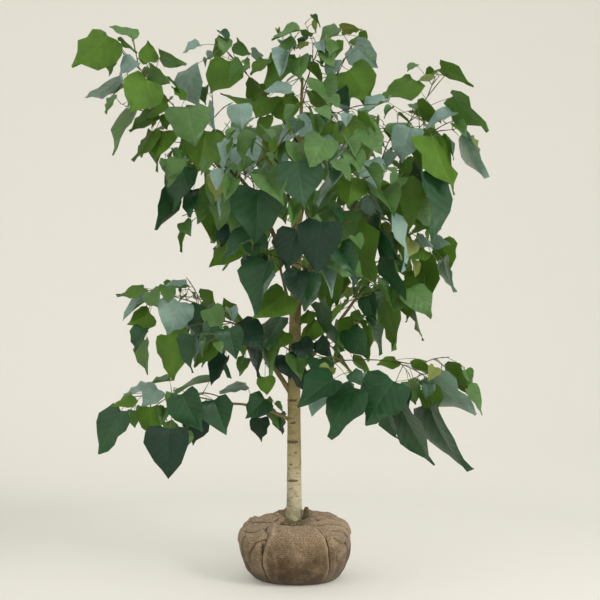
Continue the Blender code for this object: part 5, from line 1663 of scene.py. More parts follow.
def mark_hollows(mesh: Mesh, reach: int) -> None:
    """Note on each vertex how far it lies in a hollow, or below 0 on a ridge, in millimetres.

    Args:
        mesh: gains the layer "hollow".
        reach: how many times a vertex looks to its neighbours; more finds wider hollows.
    """
    mesh.normal_update()
    mesh.verts.index_update()
    around = [[edge.other_vert(vert).index for edge in vert.link_edges] for vert in mesh.verts]
    smooth = [vert.co.copy() for vert in mesh.verts]
    for _ in range(reach):
        smooth = [sum((smooth[other] for other in others), Vector()) / len(others) for others in around]
    layer = mesh.verts.layers.float.new("hollow")
    for vert, place in zip(mesh.verts, smooth):
        vert[layer] = (place - vert.co).dot(vert.normal) * 1000.0


def wrap(rings: int, sides: int, place: Callable[[int, float], Vector]) -> Mesh:
    """Wrap a closed skin round rings of points, with its poles at the two ends.

    Args:
        rings: how many rings lie between the poles.
        sides: points in each ring.
        place: gives a point from the ring's number, which is -1 and rings at the poles, and the turn.

    Returns:
        The skin, with a UV map that runs once round and once from the first pole to the last.
    """
    mesh = bmesh.new()
    mesh.loops.layers.uv.verify()
    made = bmesh.ops.create_uvsphere(
        mesh, u_segments=sides, v_segments=rings + 1, radius=1.0, calc_uvs=True)
    for vert in made["verts"]:
        polar = math.acos(max(-1.0, min(1.0, vert.co.z)))
        ring = round(polar / math.pi * (rings + 1)) - 1
        turn = math.atan2(vert.co.y, vert.co.x)
        vert.co = place(ring, turn)
    return outward(mesh)


def wrapped_line(
        line: Line, sides: int, relief: Callable[[Vector, float, float], float] | None = None) -> Mesh:
    """Wrap a closed skin round a line.

    Args:
        line: its centre line and radii.
        sides: of each ring.
        relief: gives how much the skin stands proud, from the centre, the turn and the radius.

    Returns:
        The skin.
    """
    headings = line.headings()
    turns = [UP.rotation_difference(headings[0])]
    for before, after in zip(headings, headings[1:]):
        turns.append(before.rotation_difference(after) @ turns[-1])

    def place(ring: int, turn: float) -> Vector:
        """The skin's point on a ring, or the centre of an end.

        Args:
            ring: its number, which lies outside the line at an end.
            turn: round the line.

        Returns:
            The point.
        """
        inside = max(0, min(len(line.points) - 1, ring))
        centre = line.points[inside]
        if ring != inside:
            return centre.copy()
        radius = line.radii[inside]
        if relief:
            radius += relief(centre, turn, radius)
        return centre + turns[inside] @ Vector((radius * math.cos(turn), radius * math.sin(turn), 0.0))

    return wrap(len(line.points), sides, place)


# ---- leaves and twigs
@dataclass(frozen=True)
class BladeShape:
    """The heart-shaped blade with its drip tip, in shares of its length, and how it bends."""
    UV_START = 0.14  # the UV map begins this far before the notch
    UV_LENGTH = 1.18
    UV_WIDTH = 1.24
    rim: tuple = (  # half width and distance down the midrib, from the lobe to the tip
        (0.195, -0.060), (0.395, -0.045), (0.505, 0.120), (0.520, 0.320), (0.455, 0.515), (0.325, 0.700),
        (0.125, 0.870), (0.004, 1.030))
    columns: int = 4
    bulge: float = 1.5  # how the rows bend from the midrib to the rim
    droop: float = 0.03  # how far their ends lie up the blade
    thickness: float = 0.0006
    wave: tuple = (0.020, 0.080)
    waves: tuple = (1.2, 2.6)  # waves along the rim
    scallop: tuple = (0.0, 0.060)
    ragged: float = 0.035  # how far points of the rim stray
    lopsided: float = 0.09  # how much wider one half is than the other, either way
    cup: tuple = (-0.02, 0.13)  # how far the sides bend down
    more_fold: tuple = (-0.10, 0.26)
    more_curl: tuple = (0.00, 0.16)
    twist: float = 0.30  # how far the tip turns to a side, either way

    def skin(self, leaf: Leaf, rng: random.Random, sides: tuple[int, int]) -> Mesh:
        """One leaf's blade as a thin closed skin.

        Args:
            leaf: its frame and size.
            rng: draws for its waves and bends.
            sides: material numbers of its upper and lower side.

        Returns:
            The skin, with the place on the leaf in its UV map.
        """
        wave = rng.uniform(*self.wave)
        waves = rng.uniform(*self.waves)
        phase = rng.uniform(0.0, math.tau)
        twist = rng.uniform(-self.twist, self.twist)
        curl = rng.uniform(*self.more_curl)
        scallop = rng.uniform(*self.scallop)
        cup = rng.uniform(*self.cup)
        lopsided = rng.uniform(-self.lopsided, self.lopsided)
        shaped = replace(leaf, fold=leaf.fold + rng.uniform(*self.more_fold))
        mesh = bmesh.new()
        layer = mesh.loops.layers.uv.verify()
        rows = len(self.rim) - 1
        bmesh.ops.create_grid(mesh, x_segments=self.columns, y_segments=rows, size=1.0)
        under = set(mesh.faces)
        made = bmesh.ops.extrude_face_region(mesh, geom=list(mesh.faces), use_keep_orig=True)
        over = {item for item in made["geom"] if isinstance(item, bmesh.types.BMFace)}
        upper = {item for item in made["geom"] if isinstance(item, bmesh.types.BMVert)}
        stray = {
            (row, side): rng.uniform(-self.ragged, self.ragged)
            for row in range(1, rows) for side in (-1, 1)}
        spots = {}
        for vert in mesh.verts:
            side = vert.co.x
            row = round((vert.co.y + 1.0) / 2.0 * rows)
            half_width, down = self.rim[row]
            off = stray.get((row, math.copysign(1, side)), 0.0)
            half_width += off
            down += off * 0.6
            middle = max(0.0, down) if row else 0.0
            drop = down - middle - self.droop * math.sin(math.pi * row / rows)
            down = middle + drop * abs(side) ** self.bulge
            ripple = math.sin(2.0 * waves * math.tau * down + phase * (2.0 if side > 0 else 3.0))
            width = half_width * side * (1.0 + scallop * ripple + math.copysign(lopsided, side))
            shift = 1.2 if side > 0 else 0.0
            lift = wave * abs(side) * math.sin(waves * math.tau * down + phase + shift)
            lift -= curl * down * down + twist * width * down + cup * side * side
            lift *= leaf.length
            lift += (self.thickness if vert in upper else -self.thickness) / 2.0
            spots[vert] = (0.5 + width / self.UV_WIDTH, (down + self.UV_START) / self.UV_LENGTH)
            vert.co = shaped.point(width, down, lift)
        mesh.faces.ensure_lookup_table()
        for face in mesh.faces:
            face.smooth = True
            face.material_index = sides[1] if face in under else sides[0]
            for loop in face.loops:
                loop[layer].uv = spots[loop.vert]
        for edge in mesh.edges:
            is_rim = any(face not in over and face not in under for face in edge.link_faces)
            is_midrib = all(abs(spots[vert][0] - 0.5) < 1e-6 for vert in edge.verts)
            edge.smooth = not (is_rim or is_midrib)
        bmesh.ops.recalc_face_normals(mesh, faces=mesh.faces)
        return mesh


@dataclass(frozen=True)
class Greenery:
    """Dresses the grown masses: blades, petioles and twigs, each kind in pieces of its own."""
    blade: BladeShape = field(default_factory=BladeShape)
    petiole_radii: tuple = (0.0014, 0.0009)
    petiole_sag: float = 0.09  # of its length
    petiole_end: float = 0.02  # share of the blade that it runs on under
    petiole_stations: int = 5
    petiole_sides: int = 5
    twig_sides: int = 6
    twig_stations: int = 10
    shoot_stations: int = 3
    thinner: float = 0.75  # a visible twig's radius beside the solid's
    knot: float = 0.0006  # swelling of a twig where a leaf roots

    def lower_side(self, tone: Tone) -> Tone:
        """The finish of the side that a leaf of this tone keeps away from the light."""
        return tone if tone in UNDERSIDES else BRIGHT

    def upper_side(self, tone: Tone) -> Tone:
        """The finish of the side that it turns to the light."""
        return MID if tone is BRIGHT else tone

    def petiole(self, leaf: Leaf, rng: random.Random) -> Mesh:
        """The petiole, which sags from its root and turns into the midrib.

        Args:
            leaf: that it bears.
            rng: draws for its sag.

        Returns:
            Its skin.
        """
        reach = leaf.base - leaf.root
        sag = UP * (reach.length * self.petiole_sag * rng.uniform(-0.6, 1.0))
        end = leaf.base + leaf.along * (leaf.length * self.petiole_end)
        points = [
            leaf.root.copy(), leaf.root.lerp(leaf.base, 0.35) + sag,
            leaf.root.lerp(leaf.base, 0.72) + sag * 0.8, end]
        foot, tip = self.petiole_radii
        line = Line(points, [foot * 1.3, foot, tip, tip])
        return wrapped_line(line.smoothed(self.petiole_stations), self.petiole_sides)

    def twig(self, line: Line, stations: int) -> Mesh:
        """A twig's wood, with slight knots along it.

        Args:
            line: its centre line.
            stations: stretches of its skin.

        Returns:
            The skin.
        """
        fine = line.smoothed(stations)
        fine.radii = [
            radius * self.thinner + (self.knot if index % 3 == 2 else 0.0)
            for index, radius in enumerate(fine.radii)]
        return wrapped_line(fine, self.twig_sides)

    def build(
            self, group: str, masses: list[Mass], finishes: list[Material], twig: Material,
            petiole: Material) -> None:
        """Build the pieces of one group of masses.

        Args:
            group: which names the pieces.
            masses: the grown masses.
            finishes: the leaf materials, in the order of Tone.
            twig: the twigs' material.
            petiole: the petioles' material.
        """
        numbers = {tone: index for index, tone in enumerate(Tone)}
        blades, petioles, twigs = Bundle(), Bundle(), Bundle()
        for mass in masses:
            rng = random.Random(f"{mass.spray.name} blades")
            for leaf in mass.leaves:
                sides = (numbers[self.upper_side(leaf.tone)], numbers[self.lower_side(leaf.tone)])
                blades.add(self.blade.skin(leaf, rng, sides))
                petioles.add(self.petiole(leaf, rng))
            for line in mass.lines:
                twigs.add(self.twig(line, self.twig_stations))
            for shoot in mass.shoots:
                twigs.add(self.twig(shoot, self.shoot_stations))
        replaced = [mass.spray.name for mass in masses]
        blades.piece(f"leaves_{group}", finishes, "foliage", replaced)
        petioles.piece(f"petioles_{group}", [petiole], "foliage", [])
        twigs.piece(f"twigs_{group}", [twig], "foliage", [])


# ---- trunk, boughs and stub
@dataclass(frozen=True)
class Wood:
    """Dresses the trunk and the boughs with the relief of their bark."""
    trunk_stations: int = 440
    trunk_sides: int = 56
    bough_stations: int = 36
    bough_sides: int = 14
    ripple: float = 0.00035  # fine cross ridges
    ripple_scale: float = 190.0
    bark: float = 0.0018  # thickness of the trunk's bark outside the solid
    full_radius: float = 0.02  # where the trunk is thinner, so is its bark
    swell: float = 0.0012  # slow unevenness
    flare_height: float = 0.030  # over which the foot's buttresses die out
    flare: float = 0.0032
    collar: float = 0.35  # swelling of a bough's foot, as a share of its radius
    collar_length: float = 0.12  # share of the bough that swells
    scars: tuple = (  # height, turn round the trunk in degrees, half height
        (0.491, 254.0, 0.0088), (0.560, 262.0, 0.0045), (0.352, 260.0, 0.0078), (0.412, 246.0, 0.0028),
        (0.452, 284.0, 0.0026), (0.640, 255.0, 0.0060), (0.378, 292.0, 0.0026), (0.292, 250.0, 0.0026),
        (0.760, 280.0, 0.0050), (0.830, 245.0, 0.0045), (0.930, 285.0, 0.0045), (0.470, 20.0, 0.0050),
        (0.700, 120.0, 0.0050))
    scar_narrow: float = 0.24  # scars are this much lower than wide
    scar_height: float = 0.0012
    scar_fray: float = 0.7
    scar_reach: float = 9.0  # in radii of the scar: nothing further counts

    def nearest_scar(self, height: float, turn: float, radius: float) -> float:
        """Distance to the nearest scar's middle, in radii of that scar.

        Args:
            height, turn, radius: of the place on the trunk.

        Returns:
            The distance, frayed a little.
        """
        nearest = self.scar_reach
        for level, bearing, size in self.scars:
            away = math.remainder(turn - math.radians(bearing), math.tau) * radius * self.scar_narrow
            nearest = min(nearest, math.hypot(away, height - level) / size)
        return nearest * (1.0 + self.scar_fray * noise.noise(Vector((turn * 9.0, height * 190.0, 0.0))))

    def trunk_relief(self, centre: Vector, turn: float, radius: float) -> float:
        """How far the trunk's bark stands proud at a place.

        Args:
            centre: of the trunk there.
            turn, radius: of the place on it.

        Returns:
            Metres out of the solid.
        """
        place = centre + ray(turn) * radius
        ripples = noise.noise(Vector((place.x * 14.0, place.y * 14.0, place.z * self.ripple_scale)))
        swell = noise.noise(place * 11.0)
        full = min(1.0, radius / self.full_radius)
        proud = self.bark * full + ripples * self.ripple + swell * self.swell * full
        foot = max(0.0, 1.0 - (centre.z - FRAMEWORK.trunk_foot) / self.flare_height)
        proud += self.flare * foot ** 1.6 * (0.35 + 0.65 * math.cos(3.0 * turn + 0.7) ** 2)
        distance = self.nearest_scar(centre.z, turn, radius)
        if distance < 2.2:
            ring = math.exp(-((distance - 0.8) / 0.35) ** 2)
            proud += self.scar_height * (ring - 0.8 * math.exp(-(distance / 0.6) ** 2))
        return proud

    def bough_relief(self, centre: Vector, turn: float, radius: float) -> float:
        """How far a bough's bark stands proud at a place."""
        place = centre + ray(turn) * radius
        return noise.noise(place * 45.0) * radius * 0.10 + noise.noise(place * 150.0) * radius * 0.05

    def build(self, limbs: dict[str, Line], trunk: Material, bough: Material) -> None:
        """Build the trunk's and the boughs' pieces.

        Args:
            limbs: their lines.
            trunk: the trunk's material.
            bough: the boughs' material.
        """
        fine = limbs["trunk"].smoothed(self.trunk_stations)
        skin = wrapped_line(fine, self.trunk_sides, self.trunk_relief)
        mark_hollows(skin, 4)
        layer = skin.verts.layers.float["hollow"]
        for vert in skin.verts:
            out = vert.co - Vector((FRAMEWORK.trunk_x, 0.0, vert.co.z))
            distance = self.nearest_scar(vert.co.z, math.atan2(out.y, out.x), out.length)
            vert[layer] += 1.1 * math.exp(-distance ** 2)
        Bundle(skin).piece("trunk_bark", [trunk], "trunk_bark", ["trunk"])
        bark = Bundle()
        for limb in BOUGHS:
            line = limbs[limb.name].smoothed(self.bough_stations)
            if limb.at < 1.0:
                for index, radius in enumerate(line.radii):
                    share = index / self.bough_stations / self.collar_length
                    line.radii[index] = radius * (1.0 + self.collar * math.exp(-share * share * 4.0))
            bark.add(wrapped_line(line, self.bough_sides, self.bough_relief))
        bark.piece("bough_bark", [bough], "bough_bark", [limb.name for limb in BOUGHS])


@dataclass(frozen=True)
class CutStub:
    """The rough stub of a cut shoot, standing in the soil beside the trunk."""
    foot: tuple[float, float] = (0.034, -0.022)
    height: float = 0.052
    radius: float = 0.0100
    taper: float = 0.85  # its top's radius beside its foot's
    worn: int = 4  # stations over which the cut's edge is rounded
    lean: float = 0.006
    stations: int = 26
    sides: int = 24
    roughness: float = 0.26  # of its radius

    def relief(self, centre: Vector, turn: float, radius: float) -> float:
        """How far the dead bark stands proud at a place."""
        place = centre + ray(turn) * radius
        return radius * self.roughness * (noise.noise(place * 130.0) + 0.5 * noise.noise(place * 330.0))

    def build(self, material: Material) -> None:
        """Build the stub with its slanting cut.

        Args:
            material: of its dead bark.
        """
        foot = Vector((*self.foot, FRAMEWORK.trunk_foot))
        top = foot + Vector((self.lean, 0.0, self.height))
        line = bent_line(foot, top, 0.0, (self.radius, self.radius * self.taper), self.stations, UP)
        for index in range(self.stations - self.worn + 1, self.stations + 1):
            left = (self.stations - index) / self.worn
            line.radii[index] *= 0.62 + 0.36 * math.sqrt(left)
        stub = Bundle(wrapped_line(line, self.sides, self.relief))
        stub.piece("cut_stub_bark", [material], "stub_wood", ["cut_stub"])


# ---- root ball
@dataclass(frozen=True)
class Crease:
    """A fold of the cloth along a path of (degrees from the front, metres down the cloth)."""
    path: tuple
    width: float  # metres across
    depth: float  # metres; a ridge is above 0 and a groove below
    step: float = 0.0  # metres by which the cloth on its right lies lower
    step_reach: float = 0.040  # metres over which that cloth comes up again
    step_edge: float = 0.0018  # metres over which it drops
    sway: float = 2.2  # degrees by which the fold wanders off its path
    strength: tuple = (0.95, 0.6)  # usual share of its depth, and how much that varies

    def misses(self, bearing: float, down: float) -> bool:
        """Whether a place is too far from the fold to be moved by it.

        Args:
            bearing: degrees from the front.
            down: metres down the cloth.

        Returns:
            True where it is.
        """
        margin = max(self.width * 2.5, self.step_reach * 2.0 if self.step else 0.0)
        downs = [key for _, key in self.path]
        if not min(downs) - margin < down < max(downs) + margin:
            return True
        middle = self.path[len(self.path) // 2][0]
        girth = 0.15  # a ball's radius, or a little less
        spread = max(abs(turn - middle) for turn, _ in self.path) + math.degrees(margin / girth)
        return abs(math.remainder(bearing - middle, 360.0)) > spread

    def lift(self, bearing: float, down: float, radius: float) -> float:
        """How much it lifts the cloth at a place.

        Args:
            bearing: degrees from the front, positive to the right.
            down: metres down the cloth from the rim of the collar.
            radius: of the ball there.

        Returns:
            Metres out of the cloth.
        """
        if self.misses(bearing, down):
            return 0.0
        bearing += self.sway * noise.noise(Vector((bearing * 0.03, down * 26.0, self.depth * 300.0)))
        wide = math.radians(1.0) * radius
        nearest = None
        for (turn_a, down_a), (turn_b, down_b) in zip(self.path, self.path[1:]):
            step = Vector(((turn_b - turn_a) * wide, down_b - down_a))
            here = Vector((math.remainder(bearing - turn_a, 360.0) * wide, down - down_a))
            share = clamp(here.dot(step) / step.length_squared)
            away = (here - step * share).length
            if nearest is None or away < nearest[0]:
                nearest = (away, math.copysign(away, step.y * here.x - step.x * here.y))
        distance, right = nearest
        usual, vary = self.strength
        strength = usual + vary * noise.noise(Vector((bearing * 0.04, down * 14.0, self.width * 700.0)))
        lift = self.depth * strength * math.exp(-(distance / self.width) ** 2)
        if self.step:
            below = 0.5 + 0.5 * math.tanh(right / self.step_edge)
            lift -= self.step * below * math.exp(-(distance / self.step_reach) ** 2)
        return lift


@dataclass(frozen=True)
class RootBall:
    """The ball of soil in its gathered sacking."""
    profile: tuple = (  # radius, height: up from the underside's middle to the collar
        (0.0, 0.0), (0.1130, 0.0), (0.1450, 0.007), (0.1690, 0.031), (0.1870, 0.070), (0.1975, 0.118),
        (0.1955, 0.160), (0.1802, 0.194), (0.1505, 0.211), (0.1148, 0.219), (0.084, 0.223), (0.066, 0.231),
        (0.056, 0.229), (0.045, 0.224), (0.030, 0.222), (0.0, 0.222))
    rim: int = 11  # the profile's point at the rim of the collar
    rings: int = 210
    sides: int = 360
    base_shift: float = 0.006  # the underside sits a little to the right of the belly
    base_height: float = 0.118
    lump_depth: float = 0.035
    collar_tilt: float = 0.010
    gathers: float = 0.0050  # pleats round the collar
    gather_reach: float = 0.085
    pit: tuple = (-11.0, 42.0)  # bearing and spread in degrees of the gap in front of the trunk
    pit_depth: float = 0.036
    pit_reach: float = 0.080  # metres down the cloth
    # painted shade in the gap's inside, set by the bearing, spread and radius below
    pit_shade: tuple = (-16.0, 36.0, 0.094)  # of its dark inside: bearing and spread, radius
    creases: tuple = (
        Crease(((-30, -0.008), (-4, 0.004), (12, 0.022), (21, 0.062), (28, 0.104), (34, 0.145), (36, 0.18),
                (37, 0.225), (39, 0.27), (40, 0.33)), 0.0034, -0.008, 0.0075),
        Crease(((-59, 0.0), (-42, 0.06), (-38, 0.1), (-32, 0.13), (-33, 0.16), (-36, 0.195)), 0.0095, -0.007),
        Crease(((-35, 0.165), (-36, 0.225), (-38, 0.275), (-35, 0.33)), 0.0042, -0.0052, -0.003, 0.05),
        Crease(((-56, 0.0), (-38, 0.05), (-29, 0.095), (-24, 0.13)), 0.009, 0.008),
        Crease(((-38, 0.104), (-45, 0.116), (-56, 0.128), (-70, 0.133)), 0.006, -0.0055),
        Crease(((-33, 0.15), (-43, 0.165), (-46, 0.18), (-52, 0.205), (-56, 0.24)), 0.006, -0.005),
        Crease(((-61, 0.045), (-71, 0.095), (-92, 0.135), (-98, 0.19)), 0.007, -0.006),
        Crease(((-50, 0.07), (-60, 0.104), (-74, 0.136)), 0.006, -0.0045),
        Crease(((-62, 0.02), (-84, 0.07), (-106, 0.11)), 0.008, 0.007),
        Crease(((-74, 0.01), (-98, 0.05), (-118, 0.09)), 0.006, -0.0075),
        Crease(((-46, 0.012), (-62, 0.052), (-80, 0.086)), 0.0048, -0.0085, 0.005),
        Crease(((-88, 0.06), (-92, 0.12), (-86, 0.18)), 0.01, 0.006),
        Crease(((-66, 0.15), (-70, 0.2), (-62, 0.27)), 0.009, -0.005),
        Crease(((-22, 0.19), (-20, 0.24), (-24, 0.3)), 0.012, 0.0035),
        Crease(((-6, 0.12), (-2, 0.18), (4, 0.24)), 0.016, 0.004),
        Crease(((10, 0.012), (19, 0.048), (26, 0.088)), 0.006, -0.009, 0.006),
        Crease(((26, 0.05), (38, 0.064), (50, 0.08), (62, 0.1), (76, 0.128)), 0.0085, -0.015, -0.01, 0.04),
        Crease(((30, 0.01), (52, 0.028), (77, 0.052), (92, 0.095), (98, 0.16)), 0.01, 0.0085),
        Crease(((26, 0.08), (40, 0.094), (54, 0.114), (70, 0.14)), 0.009, 0.007),
        Crease(((44, 0.118), (58, 0.128), (74, 0.16), (80, 0.22)), 0.0075, -0.0045),
        Crease(((64, 0.17), (72, 0.215), (68, 0.28)), 0.009, -0.0035),
        Crease(((44, 0.15), (53, 0.172), (66, 0.18)), 0.0055, -0.0045),
        Crease(((48, 0.2), (54, 0.25), (50, 0.31)), 0.008, -0.003),
    )
    back_creases: int = 12  # folds dealt out round the sides and back
    back_bearings: tuple = (108.0, 142.0)  # where those start, and how many degrees they span
    back_sway: float = 14.0
    back_end: tuple = (0.14, 0.30)  # metres down the cloth
    collar_radius: float = 0.10
    axis_radius: float = 0.03  # nothing tilts or dips right at the axis
    soil_radius: float = 0.060
    soil_height: float = 0.204
    soil_rings: int = 30
    soil_sides: int = 60
    lumps: float = 0.0050
    lump_scale: float = 9.0
    puckers: float = 0.0024
    pucker_scale: float = 34.0
    hollow_reach: int = 14

    def lengths(self) -> list[float]:
        """Distance along the profile to each of its points.

        Returns:
            The distances, in metres.
        """
        along = [0.0]
        for (r0, z0), (r1, z1) in zip(self.profile, self.profile[1:]):
            along.append(along[-1] + math.hypot(r1 - r0, z1 - z0))
        return along

    def all_creases(self) -> list[Crease]:
        """The named creases, and seeded ones that gather the cloth towards the collar behind.

        Returns:
            All of them.
        """
        rng = random.Random("creases")
        found = list(self.creases)
        for index in range(self.back_creases):
            first, span = self.back_bearings
            bearing = first + span * (index + rng.uniform(0.2, 0.8)) / self.back_creases
            sway = rng.uniform(-self.back_sway, self.back_sway)
            end = rng.uniform(*self.back_end)
            path = tuple(
                (bearing + sway * step / 3.0, 0.02 + (end - 0.02) * step / 3.0) for step in range(4))
            found.append(Crease(path, rng.uniform(0.005, 0.009), rng.choice((-0.007, -0.005, 0.005))))
        return found

    def cloth(self) -> Mesh:
        """The cloth: the profile spun round, then swollen, creased, puckered and pressed flat.

        Returns:
            Its skin, with hollows noted.
        """
        along = self.lengths()
        profile = Line([Vector((radius, 0.0, height)) for radius, height in self.profile], along)
        profile = profile.smoothed(self.rings + 1)
        creases = self.all_creases()

        def place(ring: int, turn: float) -> Vector:
            """A point of the cloth.

            Args:
                ring, turn: where it lies in the skin.

            Returns:
                The point.
            """
            spot = profile.points[self.rings - ring]
            down = along[self.rim] - profile.radii[self.rings - ring]
            return self.settle(spot.x, spot.z, down, turn, creases)

        mesh = wrap(self.rings, self.sides, place)
        mark_hollows(mesh, self.hollow_reach)
        self.shade_pit(mesh)
        return mesh

    def shade_pit(self, mesh: Mesh) -> None:
        """Mark the gap in front of the trunk, where the cloth folds in under itself, as hollow: painted shade
        that darkens the cloth there.

        Args:
            mesh: the cloth.
        """
        layer = mesh.verts.layers.float["hollow"]
        for vert in mesh.verts:
            bearing = math.degrees(math.atan2(vert.co.x, -vert.co.y))
            spread = (bearing - self.pit_shade[0]) / self.pit_shade[1]
            edge = (math.hypot(vert.co.x, vert.co.y) - self.pit_shade[2]) / 0.012
            if vert.co.z > 0.15:
                vert[layer] += 1.5 * math.exp(-spread ** 4) / (1.0 + math.exp(min(30.0, edge * 4.0)))

    def settle(
            self, radius: float, height: float, down: float, turn: float,
            creases: list[Crease]) -> Vector:
        """Swell, crease and pucker one point of the spun profile.

        Args:
            radius: of the profile there.
            height: of the profile there.
            down: metres down the cloth from the collar's rim; below 0 inside the collar.
            turn: round the axis.
            creases: of the whole cloth.

        Returns:
            Where the cloth lies.
        """
        bearing = math.degrees(math.remainder(turn + math.pi / 2.0, math.tau))
        lumps = math.sin(2 * turn + 0.9) * 0.5 + math.sin(3 * turn + 3.6) * 0.5
        top = clamp((height - 0.15) / 0.07)
        swell = 1.0 + self.lump_depth * lumps * (1.0 - 0.5 * top) * min(1.0, radius / self.collar_radius)
        level = clamp((height - 0.150) / 0.055)
        out = ray(turn)
        place = out * (radius * swell) + UP * height
        if down > -0.03 and height > 0.001:
            inside = clamp(1.0 + down / 0.03)
            lift = sum(crease.lift(bearing, down, max(radius, 0.05)) for crease in creases)
            lift += noise.noise(place * self.lump_scale) * self.lumps
            lift += noise.noise(place * self.pucker_scale) * self.puckers
            pleat = noise.noise(out * 7.5 + UP * (down * 9.0))
            lift += self.gathers * 2.0 * pleat * math.exp(-(down / self.gather_reach) ** 2)
            lift *= clamp(height / 0.025) * inside
            place += (out * (1.0 - level) + UP * level).normalized() * lift
        off_axis = min(1.0, radius / self.axis_radius)
        if radius < self.collar_radius:
            tilt = self.collar_tilt * math.sin(turn)
            place.z += tilt * min(1.0, (self.collar_radius - radius) / 0.03) * off_axis
        spread = math.remainder(bearing - self.pit[0], 360.0) / self.pit[1]
        if down < self.pit_reach and height > 0.15:
            dip = math.exp(-spread ** 4) * (1.0 - max(0.0, down) / self.pit_reach) ** 0.7
            place.z -= self.pit_depth * dip * off_axis
        low = 1.0 - min(1.0, max(0.0, height) / self.base_height)
        place.x += self.base_shift * low
        place.z = max(0.0, place.z)
        return place

    def soil(self) -> Mesh:
        """The crumbly, mossy soil that shows round the trunk's foot.

        Returns:
            Its skin.
        """
        def place(ring: int, turn: float) -> Vector:
            """A point of the soil.

            Args:
                ring, turn: where it lies in the skin.

            Returns:
                The point.
            """
            share = (ring + 1) / (self.soil_rings + 1)
            out = ray(turn) * (self.soil_radius * math.sin(math.pi * share))
            height = self.soil_height + 0.012 * math.cos(math.pi * share)
            height += (0.006 * math.sin(turn) - 0.004 * math.cos(turn)) * out.length / self.soil_radius
            rough = noise.noise(out * 60.0 + UP * share) * 0.004 + noise.noise(out * 170.0) * 0.0025
            return out * (1.0 + rough * 25.0) + UP * (height + rough)

        mesh = wrap(self.soil_rings, self.soil_sides, place)
        bmesh.ops.translate(mesh, verts=mesh.verts, vec=(FRAMEWORK.trunk_x, -0.004, 0.0))
        return mesh

    def build(self, burlap: Material, soil: Material) -> None:
        """Build the cloth's and the soil's pieces."""
        Bundle(self.cloth()).piece("burlap_wrap", [burlap], "burlap", ["root_ball"])
        Bundle(self.soil()).piece("soil_in_collar", [soil], "burlap", [])


# ---- studio
@dataclass(frozen=True)
class Lamp:
    """A soft studio light."""
    name: str
    place: tuple[float, float, float]
    aim: tuple[float, float, float]
    size: float
    power: float
    colour: Colour = (1.0, 1.0, 1.0)

    def build(self) -> None:
        """Hang the light."""
        data = bpy.data.lights.new(self.name, "AREA")
        data.shape = "DISK"
        data.size = self.size
        data.energy = self.power
        data.color = self.colour
        thing = show(self.name, data)
        thing.location = self.place
        aim = Vector(self.aim) - Vector(self.place)
        thing.rotation_euler = aim.to_track_quat("-Z", "Y").to_euler()


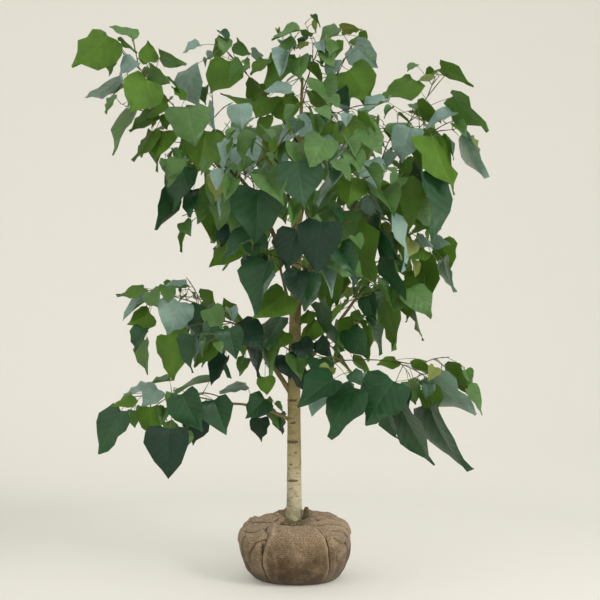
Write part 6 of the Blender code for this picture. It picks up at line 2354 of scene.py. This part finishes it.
@dataclass(frozen=True)
class Studio:
    """A round pale floor that curves up into a wall, with a painted pool of light glowing in it round the
    plant, soft lights and the camera.
    """
    lens: float = 75.0
    view_end: float = 60.0
    floor_radius: float = 4.2
    bend: float = 5.2  # radius of the curve between floor and wall
    top: float = 7.4
    steps: int = 96  # round the plant
    bend_steps: int = 24
    colour: Colour = srgb(227, 224, 216)
    # painted light: the floor glows round the plant, a pool of light that fills the crown's shadow
    glow: float = 0.21  # of the lit floor under the plant
    glow_at: tuple = (-0.10, -0.2, 0.0)
    glow_reach: float = 2.0
    sky: Colour = srgb(243, 244, 243)
    sky_strength: float = 1.02
    lamps: tuple[Lamp, ...] = (
        Lamp("right_softbox", (5.0, -4.2, 4.2), (0.0, 0.0, 0.8), 2.0, 158.0, (1.0, 0.99, 0.975)),
        Lamp("right_low_softbox", (4.3, -1.2, 1.1), (0.0, 0.0, 0.45), 1.1, 26.0, (1.0, 0.99, 0.975)),
        Lamp("left_softbox", (-4.0, -2.6, 2.6), (0.0, 0.0, 0.5), 2.6, 7.0, (1.0, 0.995, 0.985)),
        Lamp("front_low_softbox", (0.6, -5.4, 1.9), (0.0, -0.3, 0.0), 2.4, 28.0, (1.0, 0.99, 0.975)),
        Lamp("wall_wash", (-0.6, 2.6, 4.6), (-0.3, 8.6, 2.2), 3.0, 60.0, (1.0, 0.99, 0.975)),
    )

    def sweep(self) -> bpy.types.Object:
        """The round floor and its wall.

        Returns:
            The object.
        """
        mesh = bmesh.new()
        edge = [Vector((0.0, 0.0, 0.0)), Vector((self.floor_radius, 0.0, 0.0))]
        for index in range(1, self.bend_steps + 1):
            turn = math.pi / 2.0 * index / self.bend_steps
            edge.append(Vector((
                self.floor_radius + self.bend * math.sin(turn), 0.0, self.bend * (1.0 - math.cos(turn)))))
        edge.append(Vector((self.floor_radius + self.bend, 0.0, self.top)))
        verts = [mesh.verts.new(place) for place in edge]
        edges = [mesh.edges.new(pair) for pair in zip(verts, verts[1:])]
        bmesh.ops.spin(
            mesh, geom=verts + edges, cent=(0.0, 0.0, 0.0), axis=(0.0, 0.0, 1.0), angle=math.tau,
            steps=self.steps, use_merge=True)
        bmesh.ops.remove_doubles(mesh, verts=mesh.verts, dist=1e-5)
        mesh.normal_update()
        for face in mesh.faces:
            face.smooth = True
            inward = UP * (self.top / 2.0) - face.calc_center_median()
            if face.normal.dot(inward) < 0.0:
                face.normal_flip()
        data = bpy.data.meshes.new("studio_sweep")
        mesh.to_mesh(data)
        mesh.free()
        shader = Shader("studio_paper", self.colour, 0.9)
        # painted light: emission that glows in the floor near the plant, fading out by glow_reach
        away = shader.node(
            "ShaderNodeVectorMath", {"operation": "DISTANCE"}, {0: shader.place(), 1: self.glow_at})
        near = 1.0 - Wire(shader, away.outputs["Value"]).between(0.0, self.glow_reach)
        lit = shader.mix(near, (0.0, 0.0, 0.0), self.colour)
        shader.set(specular_IOR_level=0.1, emission_color=lit, emission_strength=self.glow)
        data.materials.append(shader.material)
        return show("studio_sweep", data)

    def build(self) -> None:
        """Build the sweep, the lights, the surrounding light and the camera."""
        self.sweep()
        for lamp in self.lamps:
            lamp.build()
        world = bpy.data.worlds.new("studio_light")
        world.use_nodes = True
        ground = world.node_tree.nodes["Background"]
        ground.inputs["Color"].default_value = (*self.sky, 1.0)
        ground.inputs["Strength"].default_value = self.sky_strength
        bpy.context.scene.world = world
        bpy.context.scene.view_settings.view_transform = "Standard"
        data = bpy.data.cameras.new("camera")
        data.lens = self.lens
        data.clip_end = self.view_end
        camera = show("camera", data)
        camera.location = FRONTAGE.eye
        camera.rotation_euler = (math.radians(90.0), 0.0, 0.0)
        bpy.context.scene.camera = camera


def group_of(spray: Spray) -> str:
    """The group whose pieces hold a mass: left, right or centre.

    Args:
        spray: the mass.

    Returns:
        The group's name.
    """
    for side in ("left", "right"):
        if spray.host.startswith(f"bough_{side}"):
            return side
    return "centre"


def main() -> None:
    """Build the studio, the root ball, the wood and the crown."""
    logging.basicConfig(level=logging.INFO, format="%(name)s: %(message)s")
    Studio().build()
    RootBall().build(BurlapFinish().make(), SoilFinish().make())
    limbs = FRAMEWORK.limb_lines()
    Wood().build(limbs, TRUNK_BARK.make(), BOUGH_BARK.make())
    CutStub().build(STUB_BARK.make())
    masses = Crown().grow(limbs)
    LOG.info("%d leaves", sum(len(mass.leaves) for mass in masses))
    finishes = [finish.make() for finish in LEAF_FINISHES]
    twig = TWIG_BARK.make()
    petiole = PETIOLE_SKIN.make()
    for group in ("left", "right", "centre"):
        members = [mass for mass in masses if group_of(mass.spray) == group]
        Greenery().build(group, members, finishes, twig, petiole)


if __name__ == "__main__":
    main()
